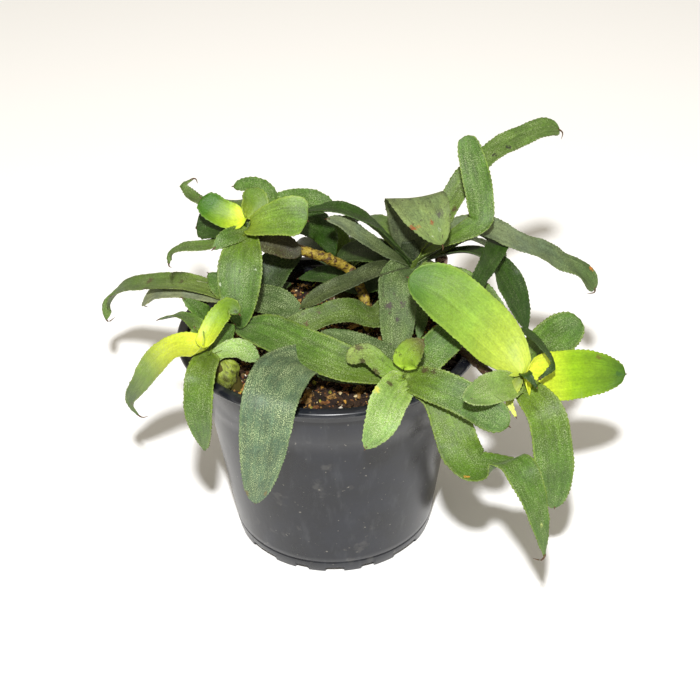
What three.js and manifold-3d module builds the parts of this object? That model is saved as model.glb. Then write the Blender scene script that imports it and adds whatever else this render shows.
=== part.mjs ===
// A clumping dwarf bromeliad, Neoregelia lilliputiana, in a black nursery pot.
//
// The origin is the centre of the pot's underside, on the surface that it stands on. +Z is up, the
// front of the plant faces -Y, and every length is in millimetres. The pot, the potting mix, each
// rosette's older and younger leaves, and each brown stolon are separate solids. Each leaf is a thin
// closed blade along its own midrib route.

import * as THREE from 'three';
import { mergeVertices } from 'three/addons/utils/BufferGeometryUtils.js';
import Module from 'manifold-3d';

const wasm = await Module();
wasm.setup();

// Driving dimensions of the pot
const POT_HEIGHT = 87;
const POT_BASE_RADIUS = 39;
const POT_WALL_TOP_RADIUS = 51;
const POT_LIP_RADIUS = 57;
const POT_LIP_INNER_RADIUS = 53;
const POT_LIP_THICKNESS = 2.2;
const POT_WALL = 1.4;
const POT_COLLAR_HEIGHT = 68;
const POT_BASE_LINE_HEIGHT = 5.4;
const POT_LINE_STEP = 0.35;
const POT_SEGMENTS = 36;
const FOOT_RING_WIDTH = 2.4;
const FOOT_DISC_RADIUS = 20;
const FLOOR_LIFT = 2.5;
const DRAIN_HOLE_RADIUS = 3.5;
const DRAIN_HOLE_CIRCLE = 28.5;
const DRAIN_HOLE_COUNT = 8;
const DRAIN_HOLE_SIDES = 10;
const NOTCH_DEPTH = 2.5;
const NOTCH_REACH = 12;
// Foot notches repeat every quarter turn: [angle from the quarter's middle, width in degrees]
const NOTCHES = [[0, 10.6], [-19, 8], [19, 8], [45, 19]];

// Driving dimensions of the potting mix
const MIX_TOP = 78.5;
const MIX_BOTTOM_GAP = 0.3;
const MIX_HEAP = 1.2;
const MIX_RINGS = 6;
const MIX_SECTORS = 26;
const MIX_LUMP = 0.55;
const BARK_CHIPS = 12;
const BARK_REACH = 43;
const BARK_SEED = 7;

// Blades: thickness, rows across and stations along
const BLADE_THICKNESS = 0.9;
const BLADE_EDGE_THICKNESS = 0.65;
const BROAD_WIDTH = 15.5;
const BROAD_ROWS = 4;
const NARROW_ROWS = 2;
const STATION_SPACING = 8.5;
const WAVED_STATION_SPACING = 6;
const FEWEST_STATIONS = 6;

// Blade outline and cross-section. The sheath at the base is cupped (share of the width) over a share
// of the length, and the bend share keeps a blade's edge inside the radius of its bends.
const TIP_HALF_WIDTH = 0.5;
const TIP_STATION_GAP = 1.3;
const SHEATH_CUP = 0.25;
const SHEATH_LENGTH_SHARE = 0.3;
const WAVE_RATE = 22;
const BEND_SHARE = 0.85;

// Stems, stolons and the clearance between neighbours
const STEM_SIDES = 8;
const STEM_RINGS = 5;
const SCALE_PITCH = 5.5;
const SCALE_LENGTH_SHARE = 0.85;
const SCALE_NARROW = 0.9;
const SCALE_WIDE = 1.25;
const CORE_SIDES = 8;
const BULB_SIDES = 12;
const BUD_RADII = [3, 3, 3.4];
const CLEARANCE = 0.3;
const SIMPLIFY = 0.1;

// A leaf's cup and base width are shares of its full width. It grows to that width over its spread and
// narrows over its tip, both shares of its length, and a smaller blunt value makes a blunter tip.
const LEAF_DEFAULTS = { cup: 0.12, base: 0.36, spread: 0.38, tip: 0.45, blunt: 0.7, wave: 0 };

// Leaves: each has its full width, what differs from the defaults, the height of its waved edges, the
// route of its midrib from the crown on, and the way its upper side looks, evenly from base to tip.
const ROSETTE_A_LEAVES = {
  broadRight: { width: 17, base: 0.15, spread: 1.2, tip: 0.16, blunt: 0.4,
    route: [[-27, 8, 125], [-20, 5, 129], [-13, 3, 131], [-7, 2, 130]], face: [[0, -1, 1], [1, -2, 2]] },
  longHanging: { width: 16, base: 0.3, spread: 0.5, tip: 0.55, blunt: 0.6,
    route: [[-31, 0, 117], [-32, -8, 107], [-32, -12, 94]], face: [[0, -1, 1], [0, -1, 0]] },
  backCurl: { width: 5.5, cup: 0.08, tip: 0.15, blunt: 0.4,
    route: [[-21, 23, 128], [-23, 27, 131], [-27, 29, 132], [-35, 30, 131]],
    face: [[0, 0, 1], [0, -1, 1], [-1, -1, 2]] },
  farRight: { width: 8, cup: 0.1, tip: 0.3, blunt: 0.5,
    route: [[-16, 26, 126], [-7, 30, 125], [2, 32, 122]], face: [[0, -1, 1]] },
  curledTip: { width: 5.5, cup: 0.15, tip: 0.3,
    route: [[-44, 35, 119], [-54, 50, 118], [-57, 55, 120], [-54, 57, 122]], face: [[0, 0, 1]] },
  darkLeft: { width: 11, tip: 0.2, blunt: 0.4, route: [[-40, 18, 121], [-49, 21, 119]],
    face: [[0, -1, 1]] },
  longLeft: { width: 6, cup: 0.1, tip: 0.4,
    route: [[-45, 13, 115], [-55, 15, 113], [-59, 16, 110], [-60, 15, 107]], face: [[0, -1, 6]] },
  smallLeft: { width: 6.5, route: [[-37, 4, 122], [-41, 1, 120]], face: [[0, -1, 1]] },
  brownSheath: { width: 9, base: 0.5, tip: 0.4, blunt: 0.5,
    route: [[-24, 10, 119], [-16, 9, 116], [-10, 8, 113]], face: [[0, -1, 1]] },
  backHigh: { width: 14, route: [[-33, 27, 125], [-37, 40, 119], [-39, 49, 107]], face: [[0, 1, 2]] },
  backRight: { width: 12, tip: 0.5,
    route: [[-17, 20, 121], [-9, 24, 119], [-3, 26, 115], [0, 26, 109], [2, 25, 103]],
    face: [[0, -1, 2], [0, -1, 1], [0, -2, 1]] },
};

const ROSETTE_A_HEART = {
  youngUpperLeft: { width: 10, cup: 0.14, base: 0.6, spread: 0.3, tip: 0.3, blunt: 0.35,
    route: [[-33, 13, 124], [-39, 15, 127], [-46, 18, 132]], face: [[0, -1, 1]] },
  youngFolded: { width: 10, cup: 0.2, base: 0.7, tip: 0.55, blunt: 0.5,
    route: [[-27, 19, 129], [-28, 24, 133]], face: [[1, -3, 1]] },
};

const ROSETTE_B_LEAVES = {
  tallRight: { width: 9, cup: 0.08, tip: 0.1, blunt: 0.4, wave: 0.6,
    route: [[41, 23, 115], [47, 29, 124], [53, 34, 132], [62, 41, 137], [74, 50, 140], [85, 56, 141],
      [91, 59, 139]], face: [[-1, -1, 1], [-1, -2, 2], [0, -1, 3], [0, -1, 2], [1, -1, 2]] },
  upright: { width: 11.5, cup: 0.1, base: 0.2, spread: 1, blunt: 0.22,
    route: [[42, 13, 114], [50, 12, 119], [56, 13, 123], [56, 16, 130], [54, 20, 141], [51, 24, 152]],
    face: [[0, 1, 3], [0, -1, 2], [0, -1, 1], [-1, -3, 1]] },
  foldedOver: { width: 21, cup: 0.04, base: 0.15, spread: 0.6, tip: 0.45, blunt: 0.55,
    route: [[30, 17, 114], [31, 18, 124], [32, 12, 133], [36, 3, 131], [41, -3, 122]],
    face: [[0, 1, 0], [0, 1, 0], [0, 1, 1], [0, 0, 1], [0, -1, 1], [1, -2, 1]] },
  longRight: { width: 9.5, cup: 0.1, tip: 0.12, blunt: 0.4, wave: 0.8,
    route: [[44, 20, 114], [51, 20, 118], [59, 19, 117], [76, 23, 107], [88, 27, 99], [98, 30, 92],
      [105, 31, 83]], face: [[0, -1, 2]] },
  turnedUnder: { width: 8, cup: 0.1, tip: 0.3, blunt: 0.5,
    route: [[44, 22, 111], [55, 27, 112], [64, 24, 110], [59, 8, 109], [50, -8, 102]],
    face: [[0, 1, 2], [0, 1, 2], [0, -1, 3], [1, -2, 1], [1, -2, 1]] },
  darkLoop: { width: 12, base: 0.15, spread: 0.75, tip: 0.4,
    route: [[44, 20, 106], [54, 21, 106], [62, 19, 103], [70, 16, 92], [76, 12, 76]],
    face: [[0, 1, 2], [0, 1, 4], [0, -1, 2], [1, -2, 1]] },
  hookedGrey: { width: 6, cup: 0.1, route: [[43, 10, 104], [55, 5, 101], [66, -1, 92]],
    face: [[0, -1, 2]] },
  longLeftUpper: { width: 9, cup: 0.15, tip: 0.3,
    route: [[23, 13, 115], [14, 11, 125], [4, 12, 129], [-9, 15, 127]], face: [[0, 0, 1]] },
  longLeftLower: { width: 8, cup: 0.1, base: 0.35, spread: 1.3, tip: 0.3, blunt: 0.5,
    route: [[22, 10, 112], [13, 8, 120], [5, 8, 126], [0, 7, 128]],
    face: [[0, -1, 2], [0, -1, 2], [0, -1, 3]] },
  frontLeft: { width: 7, cup: 0.14, tip: 0.2, blunt: 0.5,
    route: [[19, 5, 108], [8, -2, 107], [-1, -6, 105], [-10, -8, 100]], face: [[0, -1, 3]] },
  darkBehind: { width: 12, route: [[18, 23, 105], [8, 27, 103], [2, 28, 98]], face: [[0, -1, 3]] },
  spottedHanging: { width: 13, cup: 0.14, base: 0.7, tip: 0.4,
    route: [[25, 1, 105], [25, -7, 98], [24, -13, 88], [22, -17, 81]], face: [[0, -1, 1], [0, -1, 0]] },
  wavyArch: { width: 9, tip: 0.15, blunt: 0.4, wave: 0.8,
    route: [[18, -3, 92], [8, -8, 98], [-4, -12, 98], [-13, -14, 94], [-19, -16, 90]],
    face: [[0, -1, 2], [0, -1, 1]] },
  narrowHanging: { width: 6, route: [[34, 6, 99], [34, 0, 92], [33, -6, 84]],
    face: [[0, -1, 1], [0, -1, 0]] },
  darkBack: { width: 10, route: [[12, 20, 93], [0, 25, 95], [-12, 28, 92]], face: [[0, -1, 2]] },
  backTall: { width: 15, wave: 0.6, route: [[37, 30, 113], [42, 47, 113], [46, 62, 104], [48, 72, 90]],
    face: [[0, 1, 2]] },
  backLeft: { width: 14, route: [[21, 32, 111], [12, 49, 107], [4, 60, 96]], face: [[0, 1, 2]] },
  backRight: { width: 14, route: [[49, 32, 106], [63, 43, 97], [71, 51, 84]], face: [[1, 1, 2]] },
};

const ROSETTE_C_LEAVES = {
  hanging: { width: 10.5, cup: 0.1, base: 0.75, spread: 0.3, tip: 0.5, blunt: 0.7,
    route: [[-44, -42, 93], [-45, -46, 81], [-45, -42, 62]], face: [[0, -1, 1], [-1, -2, 0]] },
  smallRight: { width: 7, base: 0.25, spread: 0.55, tip: 0.35, blunt: 0.6,
    route: [[-32, -27, 95], [-25, -27, 90]], face: [[0, -1, 1]] },
  thinLeft: { width: 6.5, cup: 0.15, route: [[-47, -17, 98], [-54, -9, 98], [-62, -4, 94]],
    face: [[0, 1, 4]] },
  backRight: { width: 9, cup: 0.15, route: [[-38, -20, 96], [-34, -16, 98]], face: [[0, -1, 2]] },
};

const ROSETTE_C_HEART = {
  archingLeft: { width: 10, cup: 0.14, base: 0.95, spread: 0.1, tip: 0.8, blunt: 0.7,
    route: [[-52, -27, 96], [-61, -22, 88], [-70, -14, 73], [-77, -6, 58], [-75, -5, 52]],
    face: [[0, -1, 2], [0, -1, 1], [-1, -2, 1], [-1, -2, 0]] },
  foldedYoung: { width: 7.5, cup: 0.2, base: 0.9, spread: 0.2, tip: 0.5, blunt: 0.45,
    route: [[-41, -27, 102], [-37, -23, 107], [-34, -23, 110], [-31, -25, 108]],
    face: [[-1, -2, 0], [-1, -2, 1], [0, -1, 1]] },
  smallYoung: { width: 8, cup: 0.3, route: [[-45, -26, 98], [-47, -24, 102]], face: [[-1, -1, 1]] },
};

const ROSETTE_D_LEAVES = {
  scurfyLeft: { width: 9, route: [[20, -28, 91], [13, -22, 91], [5, -17, 92], [-3, -13, 93]],
    face: [[0, -1, 2]] },
  mottledLeft: { width: 7.5, cup: 0.14, base: 0.6, tip: 0.2, blunt: 0.4,
    route: [[19, -40, 94], [13, -39, 99], [6, -38, 97]], face: [[0, -1, 2]] },
  shortHanging: { width: 12.5, cup: 0.1, base: 0.7, tip: 0.5, blunt: 0.6,
    route: [[20, -53, 89], [17, -60, 85], [12, -63, 77]], face: [[0, -1, 1], [0, -1, 0]] },
  lowRight: { width: 12, cup: 0.08, base: 0.6, tip: 0.2, blunt: 0.45,
    route: [[35, -48, 92], [46, -54, 90], [60, -60, 83]], face: [[0, -1, 1]] },
  upRight: { width: 12, cup: 0.1, base: 0.5, tip: 0.3, blunt: 0.5,
    route: [[35, -31, 93], [42, -26, 97], [47, -22, 99]], face: [[0, -1, 1]] },
  twistedHanging: { width: 14, cup: 0.06, base: 0.6, tip: 0.6, blunt: 0.75,
    route: [[37, -48, 88], [42, -56, 79], [45, -61, 72], [49, -64, 69], [56, -66, 71], [61, -70, 75],
      [65, -75, 71], [69, -79, 59], [72, -80, 43]],
    face: [[0, -1, 1], [0, -1, 1], [0, -2, 1], [0, -1, 0], [0, -1, 4], [0, 1, 2], [0, -1, 2],
      [1, -2, 2], [1, -2, 1], [1, -2, 0]] },
  longAcross: { width: 15, cup: 0.14, tip: 0.3,
    route: [[6, -38, 94], [-10, -29, 96], [-24, -16, 95], [-35, -7, 92]],
    face: [[0, -1, 2], [0, -1, 2]] },
  broadHanging: { width: 18.5, cup: 0.06, base: 0.25, spread: 0.55, blunt: 0.5,
    route: [[12, -36, 88], [0, -31, 89], [-9, -35, 94], [-15, -47, 98], [-19, -60, 97],
      [-21, -66, 88], [-23, -68, 75], [-26, -67, 58]],
    face: [[0, -1, 4], [0, -1, 4], [0, -1, 3], [0, -1, 1], [0, -1, 0], [0, -1, 0], [0, -1, 0]] },
};

const ROSETTE_D_HEART = {
  youngShort: { width: 9, cup: 0.14, base: 0.7, tip: 0.5, blunt: 0.55,
    route: [[27, -42, 100], [32, -43, 107]], face: [[0, -1, 1]] },
};

const ROSETTE_E_LEAVES = {
  roundedBack: { width: 14.5, cup: 0.1, tip: 0.3, blunt: 0.4,
    route: [[76, -24, 90], [83, -17, 92], [91, -12, 95]], face: [[0, -1, 1]] },
  longHanging: { width: 13.5, cup: 0.1, base: 0.6, tip: 0.4, blunt: 0.5,
    route: [[74, -49, 80], [77, -54, 66], [79, -55, 43]], face: [[0, -1, 1], [0, -1, 0]] },
  shortLeft: { width: 11, cup: 0.14, tip: 0.5, blunt: 0.5,
    route: [[58, -47, 90], [50, -57, 94], [44, -64, 97]], face: [[0, -1, 1]] },
  curledOver: { width: 4, cup: 0.1,
    route: [[63, -27, 92], [67, -27, 100], [73, -35, 99], [77, -40, 94], [72, -44, 91]],
    face: [[0, -1, 2], [0, 0, 1], [1, 0, 1]] },
};

const ROSETTE_E_HEART = {
  longUpperLeft: { width: 20, cup: 0.14, base: 0.4, tip: 0.3, blunt: 0.45,
    route: [[61, -33, 96], [50, -30, 107], [39, -27, 116], [28, -25, 121]], face: [[0, -1, 1]] },
  broadRight: { width: 17.5, cup: 0.06, base: 0.6, spread: 0.25, tip: 0.55, blunt: 0.45,
    route: [[77, -35, 86], [90, -32, 85], [105, -30, 83]], face: [[0, -2, 1]] },
  heartLeaf: { width: 4, cup: 0.2, tip: 0.9, blunt: 0.9, route: [[68, -43, 92], [71, -46, 89]],
    face: [[0, -1, 2]] },
  bract: { width: 4, cup: 0.2, tip: 0.8, blunt: 0.9, route: [[62, -45, 83], [64, -49, 79]],
    face: [[0, -1, 1]] },
};

const ROSETTE_H_LEAVES = {
  longLeft: { width: 10, cup: 0.14, tip: 0.35, blunt: 0.5,
    route: [[-53, 28, 90], [-73, 44, 82], [-87, 56, 73], [-95, 63, 62], [-97, 62, 55]],
    face: [[0, -1, 3]] },
  hookedLeft: { width: 9, cup: 0.14, tip: 0.2, blunt: 0.5,
    route: [[-53, 26, 88], [-69, 38, 81], [-77, 44, 73]], face: [[0, -1, 2]] },
  shortUp: { width: 10, route: [[-42, 24, 92], [-47, 28, 95]], face: [[0, -1, 2]] },
  frontLeft: { width: 8, route: [[-44, 4, 89], [-50, 2, 95], [-54, 2, 99]], face: [[0, -1, 2]] },
  scurfyRight: { width: 13, route: [[-25, 8, 94], [-17, 3, 94], [-9, -1, 92]], face: [[0, -1, 2]] },
  upRight: { width: 14, tip: 0.5, route: [[-25, 17, 97], [-19, 20, 103], [-10, 24, 106]],
    face: [[0, -1, 1]] },
  smallRight: { width: 7, route: [[-25, 21, 91], [-15, 24, 92]], face: [[0, -1, 2]] },
};

// The rosette at the back
const ROSETTE_J_LEAVES = {
  straightBack: { width: 15, route: [[6, 50, 96], [7, 63, 91], [8, 72, 78]], face: [[0, 1, 2]] },
  backLeft: { width: 14, route: [[-8, 45, 95], [-17, 57, 90], [-22, 66, 78]], face: [[-1, 1, 2]] },
  backRight: { width: 14, route: [[18, 45, 95], [30, 57, 88], [36, 66, 76]], face: [[1, 1, 2]] },
  lowRight: { width: 12, route: [[20, 37, 91], [34, 41, 91], [47, 46, 84]], face: [[1, 0, 2]] },
  heart: { width: 9, cup: 0.3, route: [[4, 39, 100], [3, 42, 109]], face: [[0, -1, 1]] },
};

// Crowns, where the leaves of a rosette meet
const CROWN_A = [-29, 13, 121];
const CROWN_B = [31, 15, 104];
const CROWN_C = [-42, -30, 94];
const CROWN_D = [26, -39, 89];
const CROWN_E = [67, -37, 84];
const CROWN_H = [-36, 16, 89];
const CROWN_J = [5, 36, 89];

// Rosettes: the radii of the core at the crown, and the stem's radius and its route up to the crown.
// Rosette C also has a swollen sheath base.
const ROSETTES = {
  rosette_a_leaves: { crown: CROWN_A, core: [4.8, 4.8, 5], stemRadius: 3.4,
    stem: [[-22, 13, 116], [-26, 13, 118]], leaves: ROSETTE_A_LEAVES },
  rosette_b_leaves: { crown: CROWN_B, core: [5.6, 5.6, 6], stemRadius: 3.6,
    stem: [[26, 6, 71], [28, 8, 88]], leaves: ROSETTE_B_LEAVES },
  rosette_c_leaves: { crown: CROWN_C, core: [4, 4, 4.2], stemRadius: 3.2,
    stem: [[-33, -26, 71], [-36, -28, 84]], leaves: ROSETTE_C_LEAVES,
    bulb: { centre: [-37, -28.5, 86], radii: [5.4, 5, 6.5] } },
  rosette_d_leaves: { crown: CROWN_D, core: [4.8, 4.8, 4.6], stemRadius: 3.2,
    stem: [[24, -34, 71], [25, -37, 80]], leaves: ROSETTE_D_LEAVES },
  rosette_e_leaves: { crown: CROWN_E, core: [3.7, 3.7, 3.6], stemRadius: 2.8,
    stem: [[61, -36, 84], [64, -37, 83]], leaves: ROSETTE_E_LEAVES },
  rosette_h_leaves: { crown: CROWN_H, core: [4, 4, 4], stemRadius: 3.2,
    stem: [[-33, 14, 71], [-35, 15, 80]], leaves: ROSETTE_H_LEAVES },
  rosette_j_leaves: { crown: CROWN_J, core: [4, 4, 4.4], stemRadius: 3.2,
    stem: [[5, 32, 71], [5, 34, 80]], leaves: ROSETTE_J_LEAVES },
};

// Hearts: the young leaves in the middle of a rosette, and where their bud sits above its crown
const HEARTS = {
  rosette_a_heart: { crown: CROWN_A, lift: [-1, 2, 4], leaves: ROSETTE_A_HEART },
  rosette_c_heart: { crown: CROWN_C, lift: [-1, -2, 4], leaves: ROSETTE_C_HEART },
  rosette_d_heart: { crown: CROWN_D, lift: [0, -1, 5.5], leaves: ROSETTE_D_HEART },
  rosette_e_heart: { crown: CROWN_E, lift: [0, -1, 5], leaves: ROSETTE_E_HEART },
};

// Brown stolons out of the mix: to rosette A, to rosette E, and a cut stump beside rosette B
const STOLONS = {
  stolon_a: { radius: 2,
    route: [[15, 6, 74], [14, 10, 89], [9, 17, 100], [1, 15, 107], [-9, 13, 112], [-21, 13, 116]] },
  stolon_e: { radius: 1.7,
    route: [[34, -12, 73], [37, -15, 86], [46, -22, 90], [54, -30, 87], [60, -36, 84]] },
  stolon_stump: { radius: 2.3, route: [[42, 16, 74], [42, 19, 90], [43, 22, 104]] },
};

function vector(point) {
  return new THREE.Vector3(...point);
}

// A seeded random stream, so that the mix is the same each time
function randomStream(seed) {
  let state = seed;
  return () => {
    state = (state * 1664525 + 1013904223) % 4294967296;
    return state / 4294967296;
  };
}

function solidFromGeometry(geometry) {
  const bare = geometry.clone();
  bare.deleteAttribute('normal');
  bare.deleteAttribute('uv');
  const merged = mergeVertices(bare, 1e-4);
  return new wasm.Manifold(new wasm.Mesh({
    numProp: 3,
    vertProperties: new Float32Array(merged.attributes.position.array),
    triVerts: new Uint32Array(merged.index.array),
  }));
}

function solidFromGrid(points, triangles) {
  return new wasm.Manifold(new wasm.Mesh({
    numProp: 3,
    vertProperties: new Float32Array(points.flatMap((point) => [point.x, point.y, point.z])),
    triVerts: new Uint32Array(triangles),
  }));
}

function joined(solids) {
  return solids.reduce((whole, solid) => whole.add(solid)).simplify(SIMPLIFY);
}

// A solid cut clear of its neighbours, without the scraps that a cut can leave
function clearOf(solid, neighbours) {
  let cut = solid;
  for (const neighbour of neighbours) {
    if (cut.intersect(neighbour).volume() > 0) cut = cut.subtract(neighbour);
  }
  const bodies = cut.decompose();
  const main = bodies.reduce((best, body) => (body.volume() > best.volume() ? body : best));
  return main.simplify(SIMPLIFY);
}

function meshFromSolid(name, solid, material) {
  const { vertProperties, triVerts } = solid.getMesh();
  const geometry = new THREE.BufferGeometry();
  geometry.setAttribute('position', new THREE.BufferAttribute(new Float32Array(vertProperties), 3));
  geometry.setIndex(new THREE.BufferAttribute(new Uint32Array(triVerts), 1));
  const mesh = new THREE.Mesh(geometry, material);
  mesh.name = name;
  return mesh;
}

// Share of the full width at t along a blade: a clasping base, nearly parallel sides, rounded tip
function widthShare(t, { base, spread, tip, blunt }) {
  const grown = base + (1 - base) * Math.sin(Math.min(t / spread, 1) * Math.PI / 2);
  return grown * Math.sin(Math.min((1 - t) / tip, 1) * Math.PI / 2) ** blunt;
}

// The base of a leaf is a sheath, so the blade is cupped more there
function cupShare(t, cup) {
  const sheath = Math.max(1 - t / SHEATH_LENGTH_SHARE, 0);
  return cup + (SHEATH_CUP - cup) * sheath * sheath;
}

function faceAt(faces, t) {
  const place = t * (faces.length - 1);
  const index = Math.min(Math.floor(place), Math.max(faces.length - 2, 0));
  const from = vector(faces[index]).normalize();
  if (faces.length === 1) return from;
  return from.lerp(vector(faces[index + 1]).normalize(), place - index);
}

// Even stations along a blade, as shares of its length, and one more just before a blunt tip
function stationShares(leaf, length) {
  const spacing = leaf.wave > 0 ? WAVED_STATION_SPACING : STATION_SPACING;
  const count = Math.max(FEWEST_STATIONS, Math.round(length / spacing) + 1);
  const shares = Array.from({ length: count }, (_, index) => index / (count - 1));
  if (leaf.blunt < LEAF_DEFAULTS.blunt) shares.splice(-1, 0, 1 - TIP_STATION_GAP / length);
  return shares;
}

// Stations along a midrib: place, upper normal, side and the half widths to both sides. Inside a tight
// bend the half width stays below the bend's radius, so that a blade never crosses itself.
function bladeStations(leaf, route, grow) {
  const curve = new THREE.CatmullRomCurve3(route.map(vector), false, 'centripetal');
  const length = curve.getLength();
  const shares = stationShares(leaf, length);
  const last = shares.length - 1;
  const places = shares.map((share) => curve.getPointAt(share));
  const around = (index) => [Math.max(index - 1, 0), Math.min(index + 1, last)];
  const tangents = places.map((_, index) => {
    const [before, after] = around(index);
    return places[after].clone().sub(places[before]).normalize();
  });
  return places.map((place, index) => {
    const t = shares[index];
    const tangent = tangents[index];
    const normal = faceAt(leaf.face, t);
    normal.addScaledVector(tangent, -normal.dot(tangent)).normalize();
    const side = tangent.clone().cross(normal);
    const [before, after] = around(index);
    const run = (shares[after] - shares[before]) * length;
    const bend = tangents[after].clone().sub(tangents[before]).divideScalar(run).dot(side);
    const share = widthShare(t, leaf);
    const half = Math.max(leaf.width / 2 * share, TIP_HALF_WIDTH) + grow;
    const inner = Math.min(half, BEND_SHARE / Math.max(Math.abs(bend), 1e-3));
    if (index === 0) place.addScaledVector(tangent, -grow);
    if (index === last) place.addScaledVector(tangent, grow);
    return { t, share, place, normal, side, left: bend < 0 ? inner : half, right: bend > 0 ? inner : half };
  });
}

// One closed blade: an upper and a lower sheet split alike, joined round the edge
function bladeSolid(options, crown, grow = 0) {
  const leaf = { ...LEAF_DEFAULTS, ...options };
  const stations = bladeStations(leaf, [crown, ...leaf.route], grow);
  const across = leaf.width >= BROAD_WIDTH ? BROAD_ROWS : NARROW_ROWS;
  const columns = across + 1;
  const sheet = (direction) => stations.flatMap((station) => {
    const points = [];
    for (let column = 0; column < columns; column += 1) {
      const place = -1 + 2 * column / across;
      const half = place < 0 ? station.left : station.right;
      const lift = cupShare(station.t, leaf.cup) * leaf.width * station.share * place * place
        + leaf.wave * Math.sin(station.t * WAVE_RATE + place) * place * place;
      const thickness = (BLADE_EDGE_THICKNESS
        + (BLADE_THICKNESS - BLADE_EDGE_THICKNESS) * (1 - place * place)) / 2 + grow;
      points.push(station.place.clone()
        .addScaledVector(station.side, place * half)
        .addScaledVector(station.normal, lift + direction * thickness));
    }
    return points;
  });
  const upper = sheet(1);
  const points = [...upper, ...sheet(-1)];
  const lowerStart = upper.length;
  const rows = stations.length;
  const triangles = [];
  const quad = (a, b, c, d) => triangles.push(a, b, c, c, b, d);
  for (let row = 0; row < rows - 1; row += 1) {
    for (let column = 0; column < across; column += 1) {
      const near = row * columns + column;
      const far = near + columns;
      quad(near, near + 1, far, far + 1);
      triangles.push(lowerStart + near, lowerStart + far, lowerStart + near + 1);
      triangles.push(lowerStart + far, lowerStart + far + 1, lowerStart + near + 1);
    }
    const left = row * columns;
    const right = left + across;
    quad(left, left + columns, lowerStart + left, lowerStart + left + columns);
    quad(right, lowerStart + right, right + columns, lowerStart + right + columns);
  }
  const last = (rows - 1) * columns;
  for (let column = 0; column < across; column += 1) {
    quad(column, lowerStart + column, column + 1, lowerStart + column + 1);
    const end = last + column;
    quad(end, end + 1, lowerStart + end, lowerStart + end + 1);
  }
  return solidFromGrid(points, triangles);
}

// A closed round tube along a route, with its own radius at each ring: [share of the length, radius]
function tubeSolid(route, rings) {
  const curve = new THREE.CatmullRomCurve3(route.map(vector), false, 'centripetal');
  const start = new THREE.Vector3(1, 0, 0);
  const points = [];
  for (const [share, radius] of rings) {
    const tangent = curve.getTangentAt(share);
    const side = start.clone().addScaledVector(tangent, -start.dot(tangent)).normalize();
    const up = tangent.clone().cross(side);
    const centre = curve.getPointAt(share);
    for (let corner = 0; corner < STEM_SIDES; corner += 1) {
      const angle = 2 * Math.PI * corner / STEM_SIDES;
      points.push(centre.clone().addScaledVector(side, radius * Math.cos(angle))
        .addScaledVector(up, radius * Math.sin(angle)));
    }
  }
  const triangles = [];
  for (let corner = 0; corner < STEM_SIDES; corner += 1) {
    const next = (corner + 1) % STEM_SIDES;
    for (let ring = 0; ring < rings.length - 1; ring += 1) {
      const near = ring * STEM_SIDES;
      const far = near + STEM_SIDES;
      triangles.push(near + corner, near + next, far + corner);
      triangles.push(far + corner, near + next, far + next);
    }
  }
  const last = (rings.length - 1) * STEM_SIDES;
  for (let corner = 1; corner < STEM_SIDES - 1; corner += 1) {
    triangles.push(0, corner + 1, corner, last, last + corner, last + corner + 1);
  }
  return solidFromGrid(points, triangles);
}

function stemSolid(route, radius) {
  const shares = Array.from({ length: STEM_RINGS }, (_, ring) => ring / (STEM_RINGS - 1));
  return tubeSolid(route, shares.map((share) => [share, radius]));
}

// A brown stolon: its short flared scales follow one another along it
function stolonSolid({ route, radius }, grow) {
  const curve = new THREE.CatmullRomCurve3(route.map(vector), false, 'centripetal');
  const count = Math.round(curve.getLength() / SCALE_PITCH);
  const narrow = SCALE_NARROW * radius + grow;
  const wide = SCALE_WIDE * radius + grow;
  const rings = [];
  for (let index = 0; index < count; index += 1) {
    rings.push([index / count, narrow], [(index + SCALE_LENGTH_SHARE) / count, wide]);
  }
  rings.push([1, narrow]);
  return tubeSolid(route, rings);
}

function ellipsoidSolid(centre, radii, grow, sides = CORE_SIDES) {
  const geometry = new THREE.SphereGeometry(1, sides, Math.round(sides * 0.7));
  geometry.scale(...radii.map((radius) => radius + grow));
  geometry.translate(...centre);
  return solidFromGeometry(geometry);
}

function leafSolids(leaves, crown, grow) {
  return Object.values(leaves).map((leaf) => bladeSolid(leaf, crown, grow));
}

// The older leaves of a rosette, grown together at its crown, with the stem that carries them
function rosetteSolid({ crown, core, stem, stemRadius, bulb, leaves }, grow) {
  const pieces = [stemSolid([...stem, crown], stemRadius + grow), ellipsoidSolid(crown, core, grow)];
  if (bulb) pieces.push(ellipsoidSolid(bulb.centre, bulb.radii, grow, BULB_SIDES));
  return joined([...pieces, ...leafSolids(leaves, crown, grow)]);
}

// The young leaves in the middle of a rosette, held together by a bud that sits on its crown
function heartSolid({ crown, lift, leaves }, grow) {
  const bud = crown.map((value, axis) => value + lift[axis]);
  return joined([ellipsoidSolid(bud, BUD_RADII, grow), ...leafSolids(leaves, bud, grow)]);
}

function wallRadiusAt(height) {
  return POT_BASE_RADIUS + (POT_WALL_TOP_RADIUS - POT_BASE_RADIUS) * height / POT_HEIGHT;
}

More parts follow.
